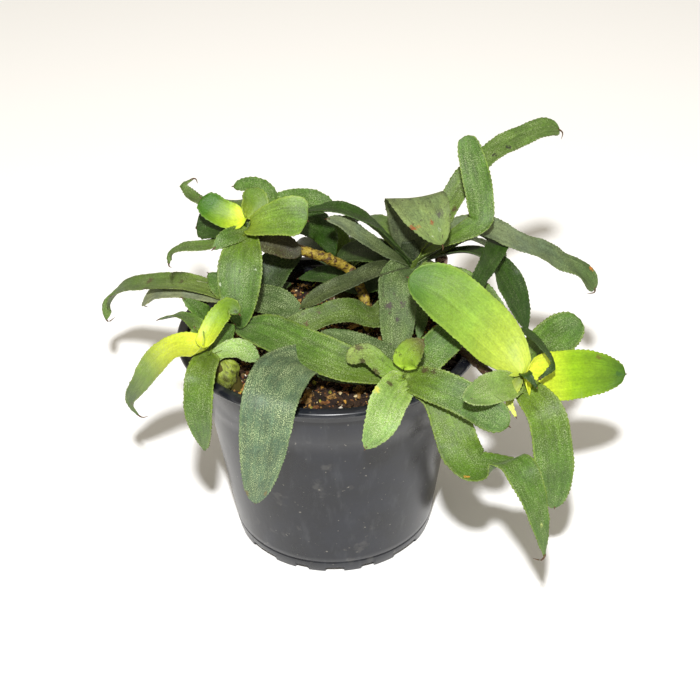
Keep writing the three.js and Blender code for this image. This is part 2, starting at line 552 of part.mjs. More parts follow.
// The pot's section: foot disc, raised floor, foot ring, outer wall, rolled lip and inner wall
function potProfile() {
  const wall = (height, out = 0) => [wallRadiusAt(height) + out, height];
  const inner = (height) => [wallRadiusAt(height) - POT_WALL, height];
  const lipUnderside = POT_HEIGHT - POT_LIP_THICKNESS;
  const floorTop = FLOOR_LIFT + POT_WALL;
  return [
    [0, 0], [FOOT_DISC_RADIUS, 0], [FOOT_DISC_RADIUS + 1, FLOOR_LIFT],
    [POT_BASE_RADIUS - FOOT_RING_WIDTH - 0.5, FLOOR_LIFT], [POT_BASE_RADIUS - FOOT_RING_WIDTH, 0],
    [POT_BASE_RADIUS - 0.5, 0], wall(0.8),
    wall(POT_BASE_LINE_HEIGHT - 0.5), wall(POT_BASE_LINE_HEIGHT, -POT_LINE_STEP),
    wall(POT_BASE_LINE_HEIGHT + 0.5), wall(POT_COLLAR_HEIGHT),
    wall(POT_COLLAR_HEIGHT + 0.5, POT_LINE_STEP), wall(lipUnderside - 1, POT_LINE_STEP),
    [POT_WALL_TOP_RADIUS + 1.5, lipUnderside], [POT_LIP_RADIUS - 0.6, lipUnderside],
    [POT_LIP_RADIUS, lipUnderside + 0.6], [POT_LIP_RADIUS, POT_HEIGHT - 0.8],
    [POT_LIP_RADIUS - 0.8, POT_HEIGHT], [POT_LIP_INNER_RADIUS + 0.6, POT_HEIGHT],
    [POT_LIP_INNER_RADIUS, POT_HEIGHT - 0.6], [POT_LIP_INNER_RADIUS - 1.2, POT_HEIGHT - 4],
    inner(POT_COLLAR_HEIGHT + 3), inner(floorTop + 1),
    [wallRadiusAt(floorTop) - POT_WALL - 1, floorTop],
    [FOOT_DISC_RADIUS + 0.6, floorTop], [FOOT_DISC_RADIUS - 0.6, POT_WALL], [0, POT_WALL],
  ].map(([radius, height]) => new THREE.Vector2(radius, height));
}

function latheSolid(profile, segments) {
  const geometry = new THREE.LatheGeometry(profile, segments);
  geometry.rotateX(Math.PI / 2);
  return solidFromGeometry(geometry);
}

function nurseryPot() {
  let pot = latheSolid(potProfile(), POT_SEGMENTS);
  const cut = (geometry) => {
    pot = pot.subtract(solidFromGeometry(geometry));
  };
  for (let quarter = 0; quarter < 4; quarter += 1) {
    for (const [offset, width] of NOTCHES) {
      const angle = THREE.MathUtils.degToRad(quarter * 90 + offset - 90);
      const span = 2 * POT_BASE_RADIUS * Math.sin(THREE.MathUtils.degToRad(width) / 2);
      const slot = new THREE.BoxGeometry(NOTCH_REACH, span, 2 * NOTCH_DEPTH);
      slot.translate(POT_BASE_RADIUS, 0, 0);
      slot.rotateZ(angle);
      cut(slot);
    }
  }
  for (let index = 0; index < DRAIN_HOLE_COUNT; index += 1) {
    const hole = new THREE.CylinderGeometry(
      DRAIN_HOLE_RADIUS, DRAIN_HOLE_RADIUS, 3 * FLOOR_LIFT, DRAIN_HOLE_SIDES);
    hole.rotateX(Math.PI / 2);
    hole.translate(DRAIN_HOLE_CIRCLE, 0, FLOOR_LIFT);
    hole.rotateZ((index + 0.5) * 2 * Math.PI / DRAIN_HOLE_COUNT);
    cut(hole);
  }
  return pot;
}

// Height of the mix surface: a slightly heaped middle with small lumps
function mixHeight(x, y) {
  const radius = Math.hypot(x, y);
  const lumps = Math.sin(x * 0.71 + 1.3) * Math.cos(y * 0.63) + 0.6 * Math.sin(x * 1.37 - y * 1.19);
  return MIX_TOP + MIX_HEAP * (1 - (radius / POT_WALL_TOP_RADIUS) ** 2) + MIX_LUMP * lumps;
}

function mixBody() {
  const wallGap = POT_WALL + CLEARANCE;
  const floorTop = FLOOR_LIFT + POT_WALL + MIX_BOTTOM_GAP;
  const rim = wallRadiusAt(MIX_TOP - 6) - wallGap;
  const points = [new THREE.Vector3(0, 0, mixHeight(0, 0))];
  const triangles = [];
  for (let ring = 1; ring <= MIX_RINGS; ring += 1) {
    for (let sector = 0; sector < MIX_SECTORS; sector += 1) {
      const angle = 2 * Math.PI * sector / MIX_SECTORS;
      const radius = rim * ring / MIX_RINGS;
      const x = radius * Math.cos(angle);
      const y = radius * Math.sin(angle);
      points.push(new THREE.Vector3(x, y, mixHeight(x, y)));
    }
  }
  const lowerRings = [
    [wallRadiusAt(floorTop + 1) - wallGap, floorTop + 1.2],
    [wallRadiusAt(floorTop) - wallGap - 1.2, floorTop],
    [FOOT_DISC_RADIUS + 0.4, floorTop],
    [FOOT_DISC_RADIUS - 1, POT_WALL + MIX_BOTTOM_GAP],
  ];
  for (const [radius, height] of lowerRings) {
    for (let sector = 0; sector < MIX_SECTORS; sector += 1) {
      const angle = 2 * Math.PI * sector / MIX_SECTORS;
      points.push(new THREE.Vector3(radius * Math.cos(angle), radius * Math.sin(angle), height));
    }
  }
  const bottom = points.length;
  points.push(new THREE.Vector3(0, 0, POT_WALL + MIX_BOTTOM_GAP));
  const ringCount = MIX_RINGS + lowerRings.length;
  for (let sector = 0; sector < MIX_SECTORS; sector += 1) {
    const next = (sector + 1) % MIX_SECTORS;
    triangles.push(0, 1 + sector, 1 + next);
    for (let ring = 0; ring < ringCount - 1; ring += 1) {
      const near = 1 + ring * MIX_SECTORS;
      const far = near + MIX_SECTORS;
      triangles.push(near + sector, far + sector, near + next);
      triangles.push(near + next, far + sector, far + next);
    }
    const last = 1 + (ringCount - 1) * MIX_SECTORS;
    triangles.push(last + next, last + sector, bottom);
  }
  return solidFromGrid(points, triangles);
}

// Loose pieces of bark, half sunk in the mix
function barkChips() {
  const random = randomStream(BARK_SEED);
  const chips = [];
  for (let index = 0; index < BARK_CHIPS; index += 1) {
    const angle = 2 * Math.PI * random();
    const radius = BARK_REACH * Math.sqrt(random());
    const chip = new THREE.BoxGeometry(3 + 4 * random(), 2 + 2.5 * random(), 1.2 + 1.2 * random());
    chip.rotateX(0.5 * (random() - 0.5));
    chip.rotateY(0.5 * (random() - 0.5));
    chip.rotateZ(Math.PI * random());
    const x = radius * Math.cos(angle);
    const y = radius * Math.sin(angle);
    chip.translate(x, y, mixHeight(x, y) + 0.3);
    chips.push(solidFromGeometry(chip));
  }
  return chips;
}

const MATERIALS = {
  pot: { color: 0x3b3e43, roughness: 0.42, metalness: 0 },
  mix: { color: 0x33241a, roughness: 0.95, metalness: 0 },
  green: { color: 0x5f7f3c, roughness: 0.45, metalness: 0 },
  grey: { color: 0x5c7650, roughness: 0.5, metalness: 0 },
  yellow: { color: 0xb4cf3a, roughness: 0.42, metalness: 0 },
  brown: { color: 0x7a5a2c, roughness: 0.7, metalness: 0 },
};

const NODE_MATERIALS = {
  nursery_pot: 'pot', potting_mix: 'mix',
  rosette_a_leaves: 'green', rosette_b_leaves: 'grey', rosette_c_leaves: 'green',
  rosette_d_leaves: 'grey', rosette_e_leaves: 'green', rosette_h_leaves: 'grey', rosette_j_leaves: 'grey',
  rosette_a_heart: 'yellow', rosette_c_heart: 'yellow', rosette_d_heart: 'yellow',
  rosette_e_heart: 'yellow',
  stolon_a: 'brown', stolon_e: 'brown', stolon_stump: 'brown',
};

// Builds every piece. A later piece is cut clear of each earlier one that it would touch, and the mix
// has a plain hole for each stem and stolon.
function buildPlant() {
  const builders = {};
  for (const [name, rosette] of Object.entries(ROSETTES)) {
    builders[name] = (grow) => rosetteSolid(rosette, grow);
  }
  for (const [name, heart] of Object.entries(HEARTS)) builders[name] = (grow) => heartSolid(heart, grow);
  for (const [name, stolon] of Object.entries(STOLONS)) {
    builders[name] = (grow) => stolonSolid(stolon, grow);
  }
  const solids = {};
  const grown = [];
  for (const [name, build] of Object.entries(builders)) {
    solids[name] = clearOf(build(0), grown);
    grown.push(build(CLEARANCE));
  }
  solids.nursery_pot = nurseryPot();
  solids.potting_mix = clearOf(joined([mixBody(), ...barkChips()]), grown);
  const plant = new THREE.Group();
  for (const [name, solid] of Object.entries(solids)) {
    plant.add(meshFromSolid(name, solid, new THREE.MeshStandardMaterial(MATERIALS[NODE_MATERIALS[name]])));
  }
  return plant;
}

export default buildPlant();
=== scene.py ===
"""A clumping dwarf bromeliad, Neoregelia lilliputiana, in a black nursery pot: the finished surfaces.

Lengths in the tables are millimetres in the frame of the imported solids: the origin is the centre of
the pot's underside, +Z is up, and the viewer looks from -Y. Meshes are in metres.
"""

import math
import random

import bpy
import numpy as np
from mathutils import Euler, Matrix, Vector, noise


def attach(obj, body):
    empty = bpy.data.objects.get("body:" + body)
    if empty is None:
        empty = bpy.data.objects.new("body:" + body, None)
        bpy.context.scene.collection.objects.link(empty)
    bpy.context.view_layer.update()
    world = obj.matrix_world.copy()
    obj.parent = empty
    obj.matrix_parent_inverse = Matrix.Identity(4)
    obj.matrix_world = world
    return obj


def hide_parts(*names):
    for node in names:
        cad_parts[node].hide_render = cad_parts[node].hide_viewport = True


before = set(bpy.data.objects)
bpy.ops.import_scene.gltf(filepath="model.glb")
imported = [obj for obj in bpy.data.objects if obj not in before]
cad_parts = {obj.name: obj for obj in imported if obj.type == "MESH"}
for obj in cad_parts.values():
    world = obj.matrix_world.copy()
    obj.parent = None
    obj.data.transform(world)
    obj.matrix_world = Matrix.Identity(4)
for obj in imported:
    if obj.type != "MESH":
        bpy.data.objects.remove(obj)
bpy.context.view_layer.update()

MM = 0.001

# Camera: place, tilt below the horizon, roll, lens, sensor width and nearest clear distance
CAMERA_PLACE = (7.4, -399.3, 329.9)
CAMERA_TILT = 32.42
CAMERA_ROLL = -1.11
CAMERA_LENS = 64.29
CAMERA_SENSOR = 36
CAMERA_NEAREST = 10

# Soft lamp just above the camera, and the warm light of the room
LAMP_PLACE = (0, -399, 480)
LAMP_TARGET = (0, 0, 60)
LAMP_SIZE = 32
LAMP_POWER = 14
ROOM_COLOUR = "#f5ecda"
ROOM_STRENGTH = 0.5
FLOOR_SIZE = 6000

# Pot
POT_HEIGHT = 87
POT_BASE_RADIUS = 39
POT_WALL_TOP_RADIUS = 51
POT_LIP_RADIUS = 57
POT_LIP_INNER_RADIUS = 53
POT_LIP_THICKNESS = 2.2
POT_LIP_ROUND = 1.1
POT_CORNER = 0.8
POT_EDGE = 0.2
POT_WALL = 1.4
POT_COLLAR_HEIGHT = 68
POT_BASE_LINE_HEIGHT = 5.4
POT_LINE_STEP = 0.35
POT_LINE_SLOPE = 0.5
POT_STEPS = 180
FOOT_RING_WIDTH = 2.4
FOOT_DISC_RADIUS = 20
FLOOR_LIFT = 2.5
DRAIN_HOLE_RADIUS = 3.5
DRAIN_HOLE_CIRCLE = 28.5
DRAIN_HOLE_COUNT = 8
NOTCH_DEPTH = 2.5
NOTCH_REACH = 12
NOTCH_ROUND = 1.1
# Foot notches repeat every quarter turn: angle from the quarter's middle and width, in degrees
NOTCHES = [(0, 10.6), (-19, 8), (19, 8), (45, 19)]

# Potting mix, and the loose pieces on it: colours of bark, coir, perlite and moss with their weights
MIX_TOP = 78.5
MIX_HEAP = 1.2
MIX_BOTTOM_GAP = 0.3
MIX_CLEARANCE = 0.3
MIX_LUMP = 0.55
MIX_ROUGHNESS = 0.9
MIX_RINGS = 60
MIX_STEPS = 200
GRAIN_COLOURS = [("#3a2611", 5), ("#4d341b", 6), ("#24180c", 3), ("#7b5029", 4), ("#9c7a42", 4),
                 ("#c2964e", 3), ("#d6c698", 2.2), ("#eee8d6", 1.3), ("#a4a43a", 1.3), ("#cc9c40", 1.2),
                 ("#655030", 4), ("#864a26", 1.2)]
BARK_COLOURS = GRAIN_COLOURS[:6]
GRAIN_COUNT = 4600
GRAIN_FIELD_RADIUS = 47.5
GRAIN_SHAPES = 3
GRAIN_LEAST = 0.6
GRAIN_RANGE = 1.5
CHIP_SHARE = 0.07
CHIP_SIZES = ((2, 5.5), (1.2, 2.6), (0.6, 1.4))

# Blade shape, as in the solids
BLADE_THICKNESS = 0.85
BLADE_EDGE_SHARE = 0.4
TIP_HALF_WIDTH = 0.5
SHEATH_CUP = 0.25
SHEATH_LENGTH_SHARE = 0.3
WAVE_RATE = 22
BEND_SHARE = 0.85

# Finer surface of the blades: mesh, margin teeth that fade over these shares of the length at both
# ends, ripples, margins, undersides and spines
ROW_SPACING = 0.8
LEAST_ROWS = 16
WIDE_LEAF = 9
WIDE_LEAF_COLUMNS = 14
NARROW_LEAF_COLUMNS = 10
ROUNDED_BASE = 2.5
TOOTH_HEIGHT = 0.32
TOOTH_LEAN = 0.8
TOOTHLESS_BASE = 0.15
TOOTHLESS_TIP = 0.06
RIPPLE_HEIGHT = 0.352
RIPPLE_WIDTH = 7
RIPPLE_LENGTH = 9
EDGE_RIPPLE_HEIGHT = 0.384
EDGE_RIPPLE_LENGTH = 3.6
MARGIN_PLACE = 0.97
MARGIN_SHARE = 0.26
UNDERSIDE = "#7d8672"
MAP_SPREAD = 400
SPINE_RADIUS = 0.42
SPINE_COLOUR = "#5b4128"
NO_SPINE = (0, 0, 0)

# Sheaths that clasp the stem under the leaves, and what is left of the solid's core between them
SHEATH_REACH = 9
SHEATH_DROP = 5
SHEATH_WIDTH_SHARE = 0.75
SHEATH_LEAST_WIDTH = 6.5
SHEATH_MOST_WIDTH = 10.5
SHEATH_WRAP = 1.0
SHEATH_THICKNESS = 0.6
SHEATH_ROWS = 14
SHEATH_COLUMNS = 10
CORE_SHARE = 0.5
CORE_DEPTH = 3

# Papery scales of a stolon: their distance, and the share of it over which each one widens
SCALE_PITCH = 5.5
SCALE_SLOPE = 0.85


def leaf_look(base, middle, tip, margin, scurf, spots=0.0, stops=(0.06, 0.5, 0.95)):
    """The look of a leaf: its colours at its base, middle and tip, which hold at the stops, shares of
    its length, the colour of its margins, and how much pale scurf and dark spots it has."""
    return dict(colours=(base, middle, tip), margin=margin, scurf=scurf, spots=spots, stops=stops)


LOOKS = {
    "lime": leaf_look("#c2d236", "#7c9c20", "#4a681a", margin="#a9b83c", scurf=0.3),
    "arched": leaf_look("#c0ce34", "#6f8c2a", "#3e5628", stops=(0.2, 0.48, 0.8), margin="#8ea04a",
                        scurf=0.6),
    "glow": leaf_look("#c0d438", "#76981a", "#35600a", stops=(0.12, 0.42, 0.75), margin="#668e20",
                      scurf=0.1),
    "yellow": leaf_look("#dbe83e", "#7da410", "#3c6012", margin="#8fa42a", scurf=0.05),
    "lemon": leaf_look("#aabc44", "#7c9e38", "#446a22", margin="#87a034", scurf=0.2, spots=0.05),
    "fresh": leaf_look("#7b9020", "#5f7c24", "#557526", margin="#98a848", scurf=0.4, spots=0.1),
    "green": leaf_look("#546c12", "#44641a", "#3f601e", margin="#8a9c3c", scurf=0.6, spots=0.15),
    "grey": leaf_look("#586c22", "#4e6826", "#486424", margin="#76803e", scurf=0.6, spots=0.25),
    "silver": leaf_look("#68725a", "#8e967c", "#80886c", margin="#76803e", scurf=0.5, spots=0.2),
    "striped": leaf_look("#505e38", "#63725a", "#42592a", margin="#5f6c3c", scurf=0.4, spots=0.1),
    "ridged": leaf_look("#34421e", "#4a5838", "#6a765e", margin="#76806a", scurf=0.5, spots=0.1),
    # The dusky, shaded and deep looks are dark greens with painted shade in them, for leaves that lie in the
    # shadow of other leaves
    "dusky": leaf_look("#283016", "#323c20", "#34401a", margin="#5f6c4c", scurf=0.4, spots=0.2),
    "shaded": leaf_look("#182a04", "#1e3206", "#223608", margin="#4a6024", scurf=0.22),
    "deep": leaf_look("#223a02", "#223e02", "#1c3802", margin="#46601a", scurf=0.22),
    "scurfy": leaf_look("#24361c", "#445a42", "#445c4a", margin="#6f8450", scurf=1.0),
    "dusty": leaf_look("#36481c", "#3a5024", "#3e5426", margin="#6a7c3c", scurf=1.0, spots=0.1),
    "olive": leaf_look("#526022", "#3f5616", "#445a16", margin="#8a9458", scurf=0.5, spots=0.4),
    "pale": leaf_look("#7c9a38", "#7a9c4c", "#628440", margin="#a4b47a", scurf=1.4, spots=0.05),
    "spotted": leaf_look("#40552a", "#455a2e", "#485d2e", margin="#56643a", scurf=0.7, spots=0.9),
    # The folded look's dark base is partly painted shade, where the leaf rises in the shadow of its own
    # folded flap
    "folded": leaf_look("#1a280a", "#5e6a4a", "#667c40", margin="#5e6a40", scurf=0.3, spots=0.8),
    "mottled": leaf_look("#6c9024", "#668430", "#768a44", margin="#4a3424", scurf=0.6, spots=1.0),
    "brown": leaf_look("#34360c", "#33300a", "#241e08", margin="#3b2e14", scurf=0.3, spots=0.9),
    "browned": leaf_look("#94b634", "#749428", "#504e24", margin="#40301c", scurf=0.3, spots=0.8),
    "bract": leaf_look("#61742a", "#a4b44a", "#ccd66a", margin="#c8d070", scurf=0.1),
}


def leaf(width, route, look, face=((0, -1, 1),), cup=0.12, base=0.36, spread=0.38, tip=0.45, blunt=0.7,
         wave=0.0, spine=None, marks=()):
    """A leaf: full blade width, midrib route from the crown on, its look, and the way its upper side
    looks from base to tip, which is forward and up where nothing else is given. Its cup and base width
    are shares of the full width. It grows to that width over its spread and narrows over its tip,
    shares of its length, and a smaller blunt value makes a blunter tip. Wave is the height of its waved
    edges, and spine how far the spine at its tip reaches. Marks are blotches, and a few are painted
    highlights of a wet shine: share of the length, place across from -1 to 1, size and colour."""
    return dict(width=width, route=route, face=face, look=look, cup=cup, base=base, spread=spread,
                tip=tip, blunt=blunt, wave=wave, spine=spine, marks=marks)


ROSETTE_A_LEAVES = {
    "broad_right": leaf(17, base=0.15, spread=1.2, tip=0.16, blunt=0.4, look="fresh",
        route=[(-27, 8, 125), (-20, 5, 129), (-13, 3, 131), (-7, 2, 130)],
        face=[(0, -1, 1), (1, -2, 2)]),
    "long_hanging": leaf(16, base=0.3, spread=0.5, tip=0.55, blunt=0.6, look="green", spine=NO_SPINE,
        route=[(-31, 0, 117), (-32, -8, 107), (-32, -12, 94)],
        face=[(0, -1, 1), (0, -1, 0)],
        marks=[(0.6, 0.9, 0.7, "#c8d4b8"), (0.46, -0.7, 0.7, "#c8d4b8"), (0.28, 0.8, 1, "#31461c"),
               (0.48, 0, 0.8, "#314225")]),
    "back_curl": leaf(5.5, cup=0.08, tip=0.15, blunt=0.4, look="green",
        route=[(-21, 23, 128), (-23, 27, 131), (-27, 29, 132), (-35, 30, 131)],
        face=[(0, 0, 1), (0, -1, 1), (-1, -1, 2)]),
    "far_right": leaf(8, cup=0.1, tip=0.3, blunt=0.5, look="green", spine=(1, 0, -2),
        route=[(-16, 26, 126), (-7, 30, 125), (2, 32, 122)]),
    "curled_tip": leaf(5.5, cup=0.15, tip=0.3, look="grey", spine=(2, 0, -2),
        route=[(-44, 35, 119), (-54, 50, 118), (-57, 55, 120), (-54, 57, 122)],
        face=[(0, 0, 1)]),
    "dark_left": leaf(11, tip=0.2, blunt=0.4, look="deep", spine=(1, 0, -2),
        route=[(-40, 18, 121), (-49, 21, 119)]),
    "long_left": leaf(6, cup=0.1, tip=0.4, look="grey", spine=(1, 0, -2),
        route=[(-45, 13, 115), (-55, 15, 113), (-59, 16, 110), (-60, 15, 107)],
        face=[(0, -1, 6)]),
    "small_left": leaf(6.5, look="green",
        route=[(-37, 4, 122), (-41, 1, 120)]),
    "brown_sheath": leaf(9, base=0.5, tip=0.4, blunt=0.5, look="brown", spine=NO_SPINE,
        route=[(-24, 10, 119), (-16, 9, 116), (-10, 8, 113)]),
    "back_high": leaf(14, look="green",
        route=[(-33, 27, 125), (-37, 40, 119), (-39, 49, 107)],
        face=[(0, 1, 2)]),
    "back_right": leaf(12, tip=0.5, look="deep",
        route=[(-17, 20, 121), (-9, 24, 119), (-3, 26, 115), (0, 26, 109), (2, 25, 103)],
        face=[(0, -1, 2), (0, -1, 1), (0, -2, 1)]),
}

ROSETTE_A_HEART = {
    "young_upper_left": leaf(10, cup=0.14, base=0.6, spread=0.3, tip=0.3, blunt=0.35, look="glow",
        route=[(-35, 14, 126), (-40, 15, 128), (-46, 18, 132)]),
    "young_folded": leaf(10, cup=0.2, base=0.7, tip=0.55, blunt=0.5, look="fresh", spine=NO_SPINE,
        route=[(-27, 19, 129), (-28, 24, 133)],
        face=[(1, -3, 1)]),
}

ROSETTE_B_LEAVES = {
    "tall_right": leaf(9, cup=0.08, tip=0.1, blunt=0.4, wave=0.6, look="grey", spine=(1, 0, -4),
        route=[(41, 23, 115), (47, 29, 124), (53, 34, 132), (62, 41, 137), (74, 50, 140),
               (85, 56, 141), (91, 59, 139)],
        face=[(-1, -1, 1), (-1, -2, 2), (0, -1, 3), (0, -1, 2), (1, -1, 2)],
        marks=[(0.69, 0.5, 1.4, "#241925"), (0.61, 0.4, 1.4, "#281e22"), (0.3, 0.7, 1.5, "#463225")]),
    "upright": leaf(11.5, cup=0.1, base=0.2, spread=1, blunt=0.22, look="green", spine=NO_SPINE,
        route=[(42, 13, 114), (50, 12, 119), (56, 13, 123), (56, 16, 130), (54, 20, 141), (51, 24, 152)],
        face=[(0, 1, 3), (0, -1, 2), (0, -1, 1), (-1, -3, 1)]),
    "folded_over": leaf(21, cup=0.04, base=0.15, spread=0.6, tip=0.45, blunt=0.55,
        look="folded", spine=(0, -1, -2),
        route=[(30, 17, 114), (31, 18, 124), (32, 12, 133), (36, 3, 131), (41, -3, 122)],
        face=[(0, 1, 0), (0, 1, 0), (0, 1, 1), (0, 0, 1), (0, -1, 1), (1, -2, 1)],
        marks=[(0.82, 0.92, 1.5, "#86391a"), (0.83, 0.7, 1, "#b8642c"), (0.84, 0, 1.2, "#8a3c18"),
               (0.81, -0.5, 1.9, "#3a312f"), (0.78, 0.1, 1, "#2c3222"), (0.75, 0.5, 0.8, "#2f3725"),
               # The two pale marks near the tip are painted highlights: the glints of a wet shine
               (0.9, -0.3, 1.1, "#dde6d2"), (0.93, 0.5, 0.9, "#dde6d2")]),
    "long_right": leaf(9.5, cup=0.1, tip=0.12, blunt=0.4, wave=0.8, look="striped", spine=(-3, 0, -2),
        route=[(44, 20, 114), (51, 20, 118), (59, 19, 117), (76, 23, 107), (88, 27, 99), (98, 30, 92),
               (105, 31, 83)],
        face=[(0, -1, 2)],
        marks=[(0.92, -0.9, 1, "#b8682a")]),
    "turned_under": leaf(8, cup=0.1, tip=0.3, blunt=0.5, look="deep",
        route=[(44, 22, 111), (55, 27, 112), (64, 24, 110), (59, 8, 109), (50, -8, 102)],
        face=[(0, 1, 2), (0, 1, 2), (0, -1, 3), (1, -2, 1), (1, -2, 1)]),
    "dark_loop": leaf(12, base=0.15, spread=0.75, tip=0.4, look="deep",
        route=[(44, 20, 106), (54, 21, 106), (62, 19, 103), (70, 16, 92), (76, 12, 76)],
        face=[(0, 1, 2), (0, 1, 4), (0, -1, 2), (1, -2, 1)]),
    "hooked_grey": leaf(6, cup=0.1, look="grey",
        route=[(43, 10, 104), (55, 5, 101), (66, -1, 92)],
        face=[(0, -1, 2)]),
    "long_left_upper": leaf(9, cup=0.15, tip=0.3, look="deep",
        route=[(23, 13, 115), (14, 11, 125), (4, 12, 129), (-9, 15, 127)],
        face=[(0, 0, 1)]),
    "long_left_lower": leaf(8, cup=0.1, base=0.35, spread=1.3, tip=0.3, blunt=0.5, look="ridged",
        route=[(22, 10, 112), (13, 8, 120), (5, 8, 126), (0, 7, 128)],
        face=[(0, -1, 2), (0, -1, 2), (0, -1, 3)]),
    "front_left": leaf(7, cup=0.14, tip=0.2, blunt=0.5, look="dusky",
        route=[(19, 5, 108), (8, -2, 107), (-1, -6, 105), (-10, -8, 100)],
        face=[(0, -1, 3)],
        marks=[(0.67, 0.2, 1.3, "#2d3a1c")]),
    "dark_behind": leaf(12, look="shaded",
        route=[(18, 23, 105), (8, 27, 103), (2, 28, 98)],
        face=[(0, -1, 3)]),
    "spotted_hanging": leaf(13, cup=0.14, base=0.7, tip=0.4, look="spotted",
        route=[(25, 1, 105), (25, -7, 98), (24, -13, 88), (22, -17, 81)],
        face=[(0, -1, 1), (0, -1, 0)],
        marks=[(0.54, 0.5, 1.9, "#48373e"), (0.53, -0.3, 1.4, "#463a3a"), (0.65, 0, 1.1, "#3b2d33"),
               (0.86, 0.4, 1.2, "#3b2d33")]),
    "wavy_arch": leaf(9, tip=0.15, blunt=0.4, wave=0.8, look="olive",
        route=[(18, -3, 92), (8, -8, 98), (-4, -12, 98), (-13, -14, 94), (-19, -16, 90)],
        face=[(0, -1, 2), (0, -1, 1)],
        marks=[(0.81, -0.1, 1.2, "#533225"), (0.98, 0.2, 1.9, "#3a3a1c"), (0.73, 0.4, 1, "#493a29")]),
    "narrow_hanging": leaf(6, look="green",
        route=[(34, 6, 99), (34, 0, 92), (33, -6, 84)],
        face=[(0, -1, 1), (0, -1, 0)]),
    "dark_back": leaf(10, look="deep",
        route=[(12, 20, 93), (0, 25, 95), (-12, 28, 92)],
        face=[(0, -1, 2)]),
    "back_tall": leaf(15, wave=0.6, look="green",
        route=[(37, 30, 113), (42, 47, 113), (46, 62, 104), (48, 72, 90)],
        face=[(0, 1, 2)]),
    "back_left": leaf(14, look="green",
        route=[(21, 32, 111), (12, 49, 107), (4, 60, 96)],
        face=[(0, 1, 2)]),
    "back_right": leaf(14, look="green",
        route=[(49, 32, 106), (63, 43, 97), (71, 51, 84)],
        face=[(1, 1, 2)]),
}

ROSETTE_C_LEAVES = {
    "hanging": leaf(10.5, cup=0.1, base=0.75, spread=0.3, tip=0.5, blunt=0.7, look="green",
        route=[(-44, -42, 93), (-45, -46, 81), (-45, -42, 62)],
        face=[(0, -1, 1), (-1, -2, 0)]),
    "small_right": leaf(7, base=0.25, spread=0.55, tip=0.35, blunt=0.6, look="pale",
        route=[(-32, -27, 95), (-25, -27, 90)]),
    "thin_left": leaf(6.5, cup=0.15, look="green", spine=(-2, 0, -1),
        route=[(-47, -17, 98), (-54, -9, 98), (-62, -4, 94)],
        face=[(0, 1, 4)]),
    "back_right": leaf(9, cup=0.15, look="green",
        route=[(-38, -20, 96), (-34, -16, 98)],
        face=[(0, -1, 2)]),
}

ROSETTE_C_HEART = {
    "arching_left": leaf(10, cup=0.14, base=0.95, spread=0.1, tip=0.8, blunt=0.7,
        look="arched", spine=(4, 0, -1),
        route=[(-52, -27, 96), (-61, -22, 88), (-70, -14, 73), (-77, -6, 58), (-75, -5, 52)],
        face=[(0, -1, 2), (0, -1, 1), (-1, -2, 1), (-1, -2, 0)],
        marks=[(0.88, -0.7, 1.9, "#53532d")]),
    "folded_young": leaf(7.5, cup=0.2, base=0.9, spread=0.2, tip=0.5, blunt=0.45, look="lime",
        route=[(-41, -27, 102), (-37, -23, 107), (-34, -23, 110), (-31, -25, 108)],
        face=[(-1, -2, 0), (-1, -2, 1), (0, -1, 1)],
        marks=[(0.95, 0.2, 1.5, "#2f3219")]),
    "small_young": leaf(8, cup=0.3, base=0.15, look="fresh",
        route=[(-45, -26, 98), (-47, -24, 102)],
        face=[(-1, -1, 1)]),
}

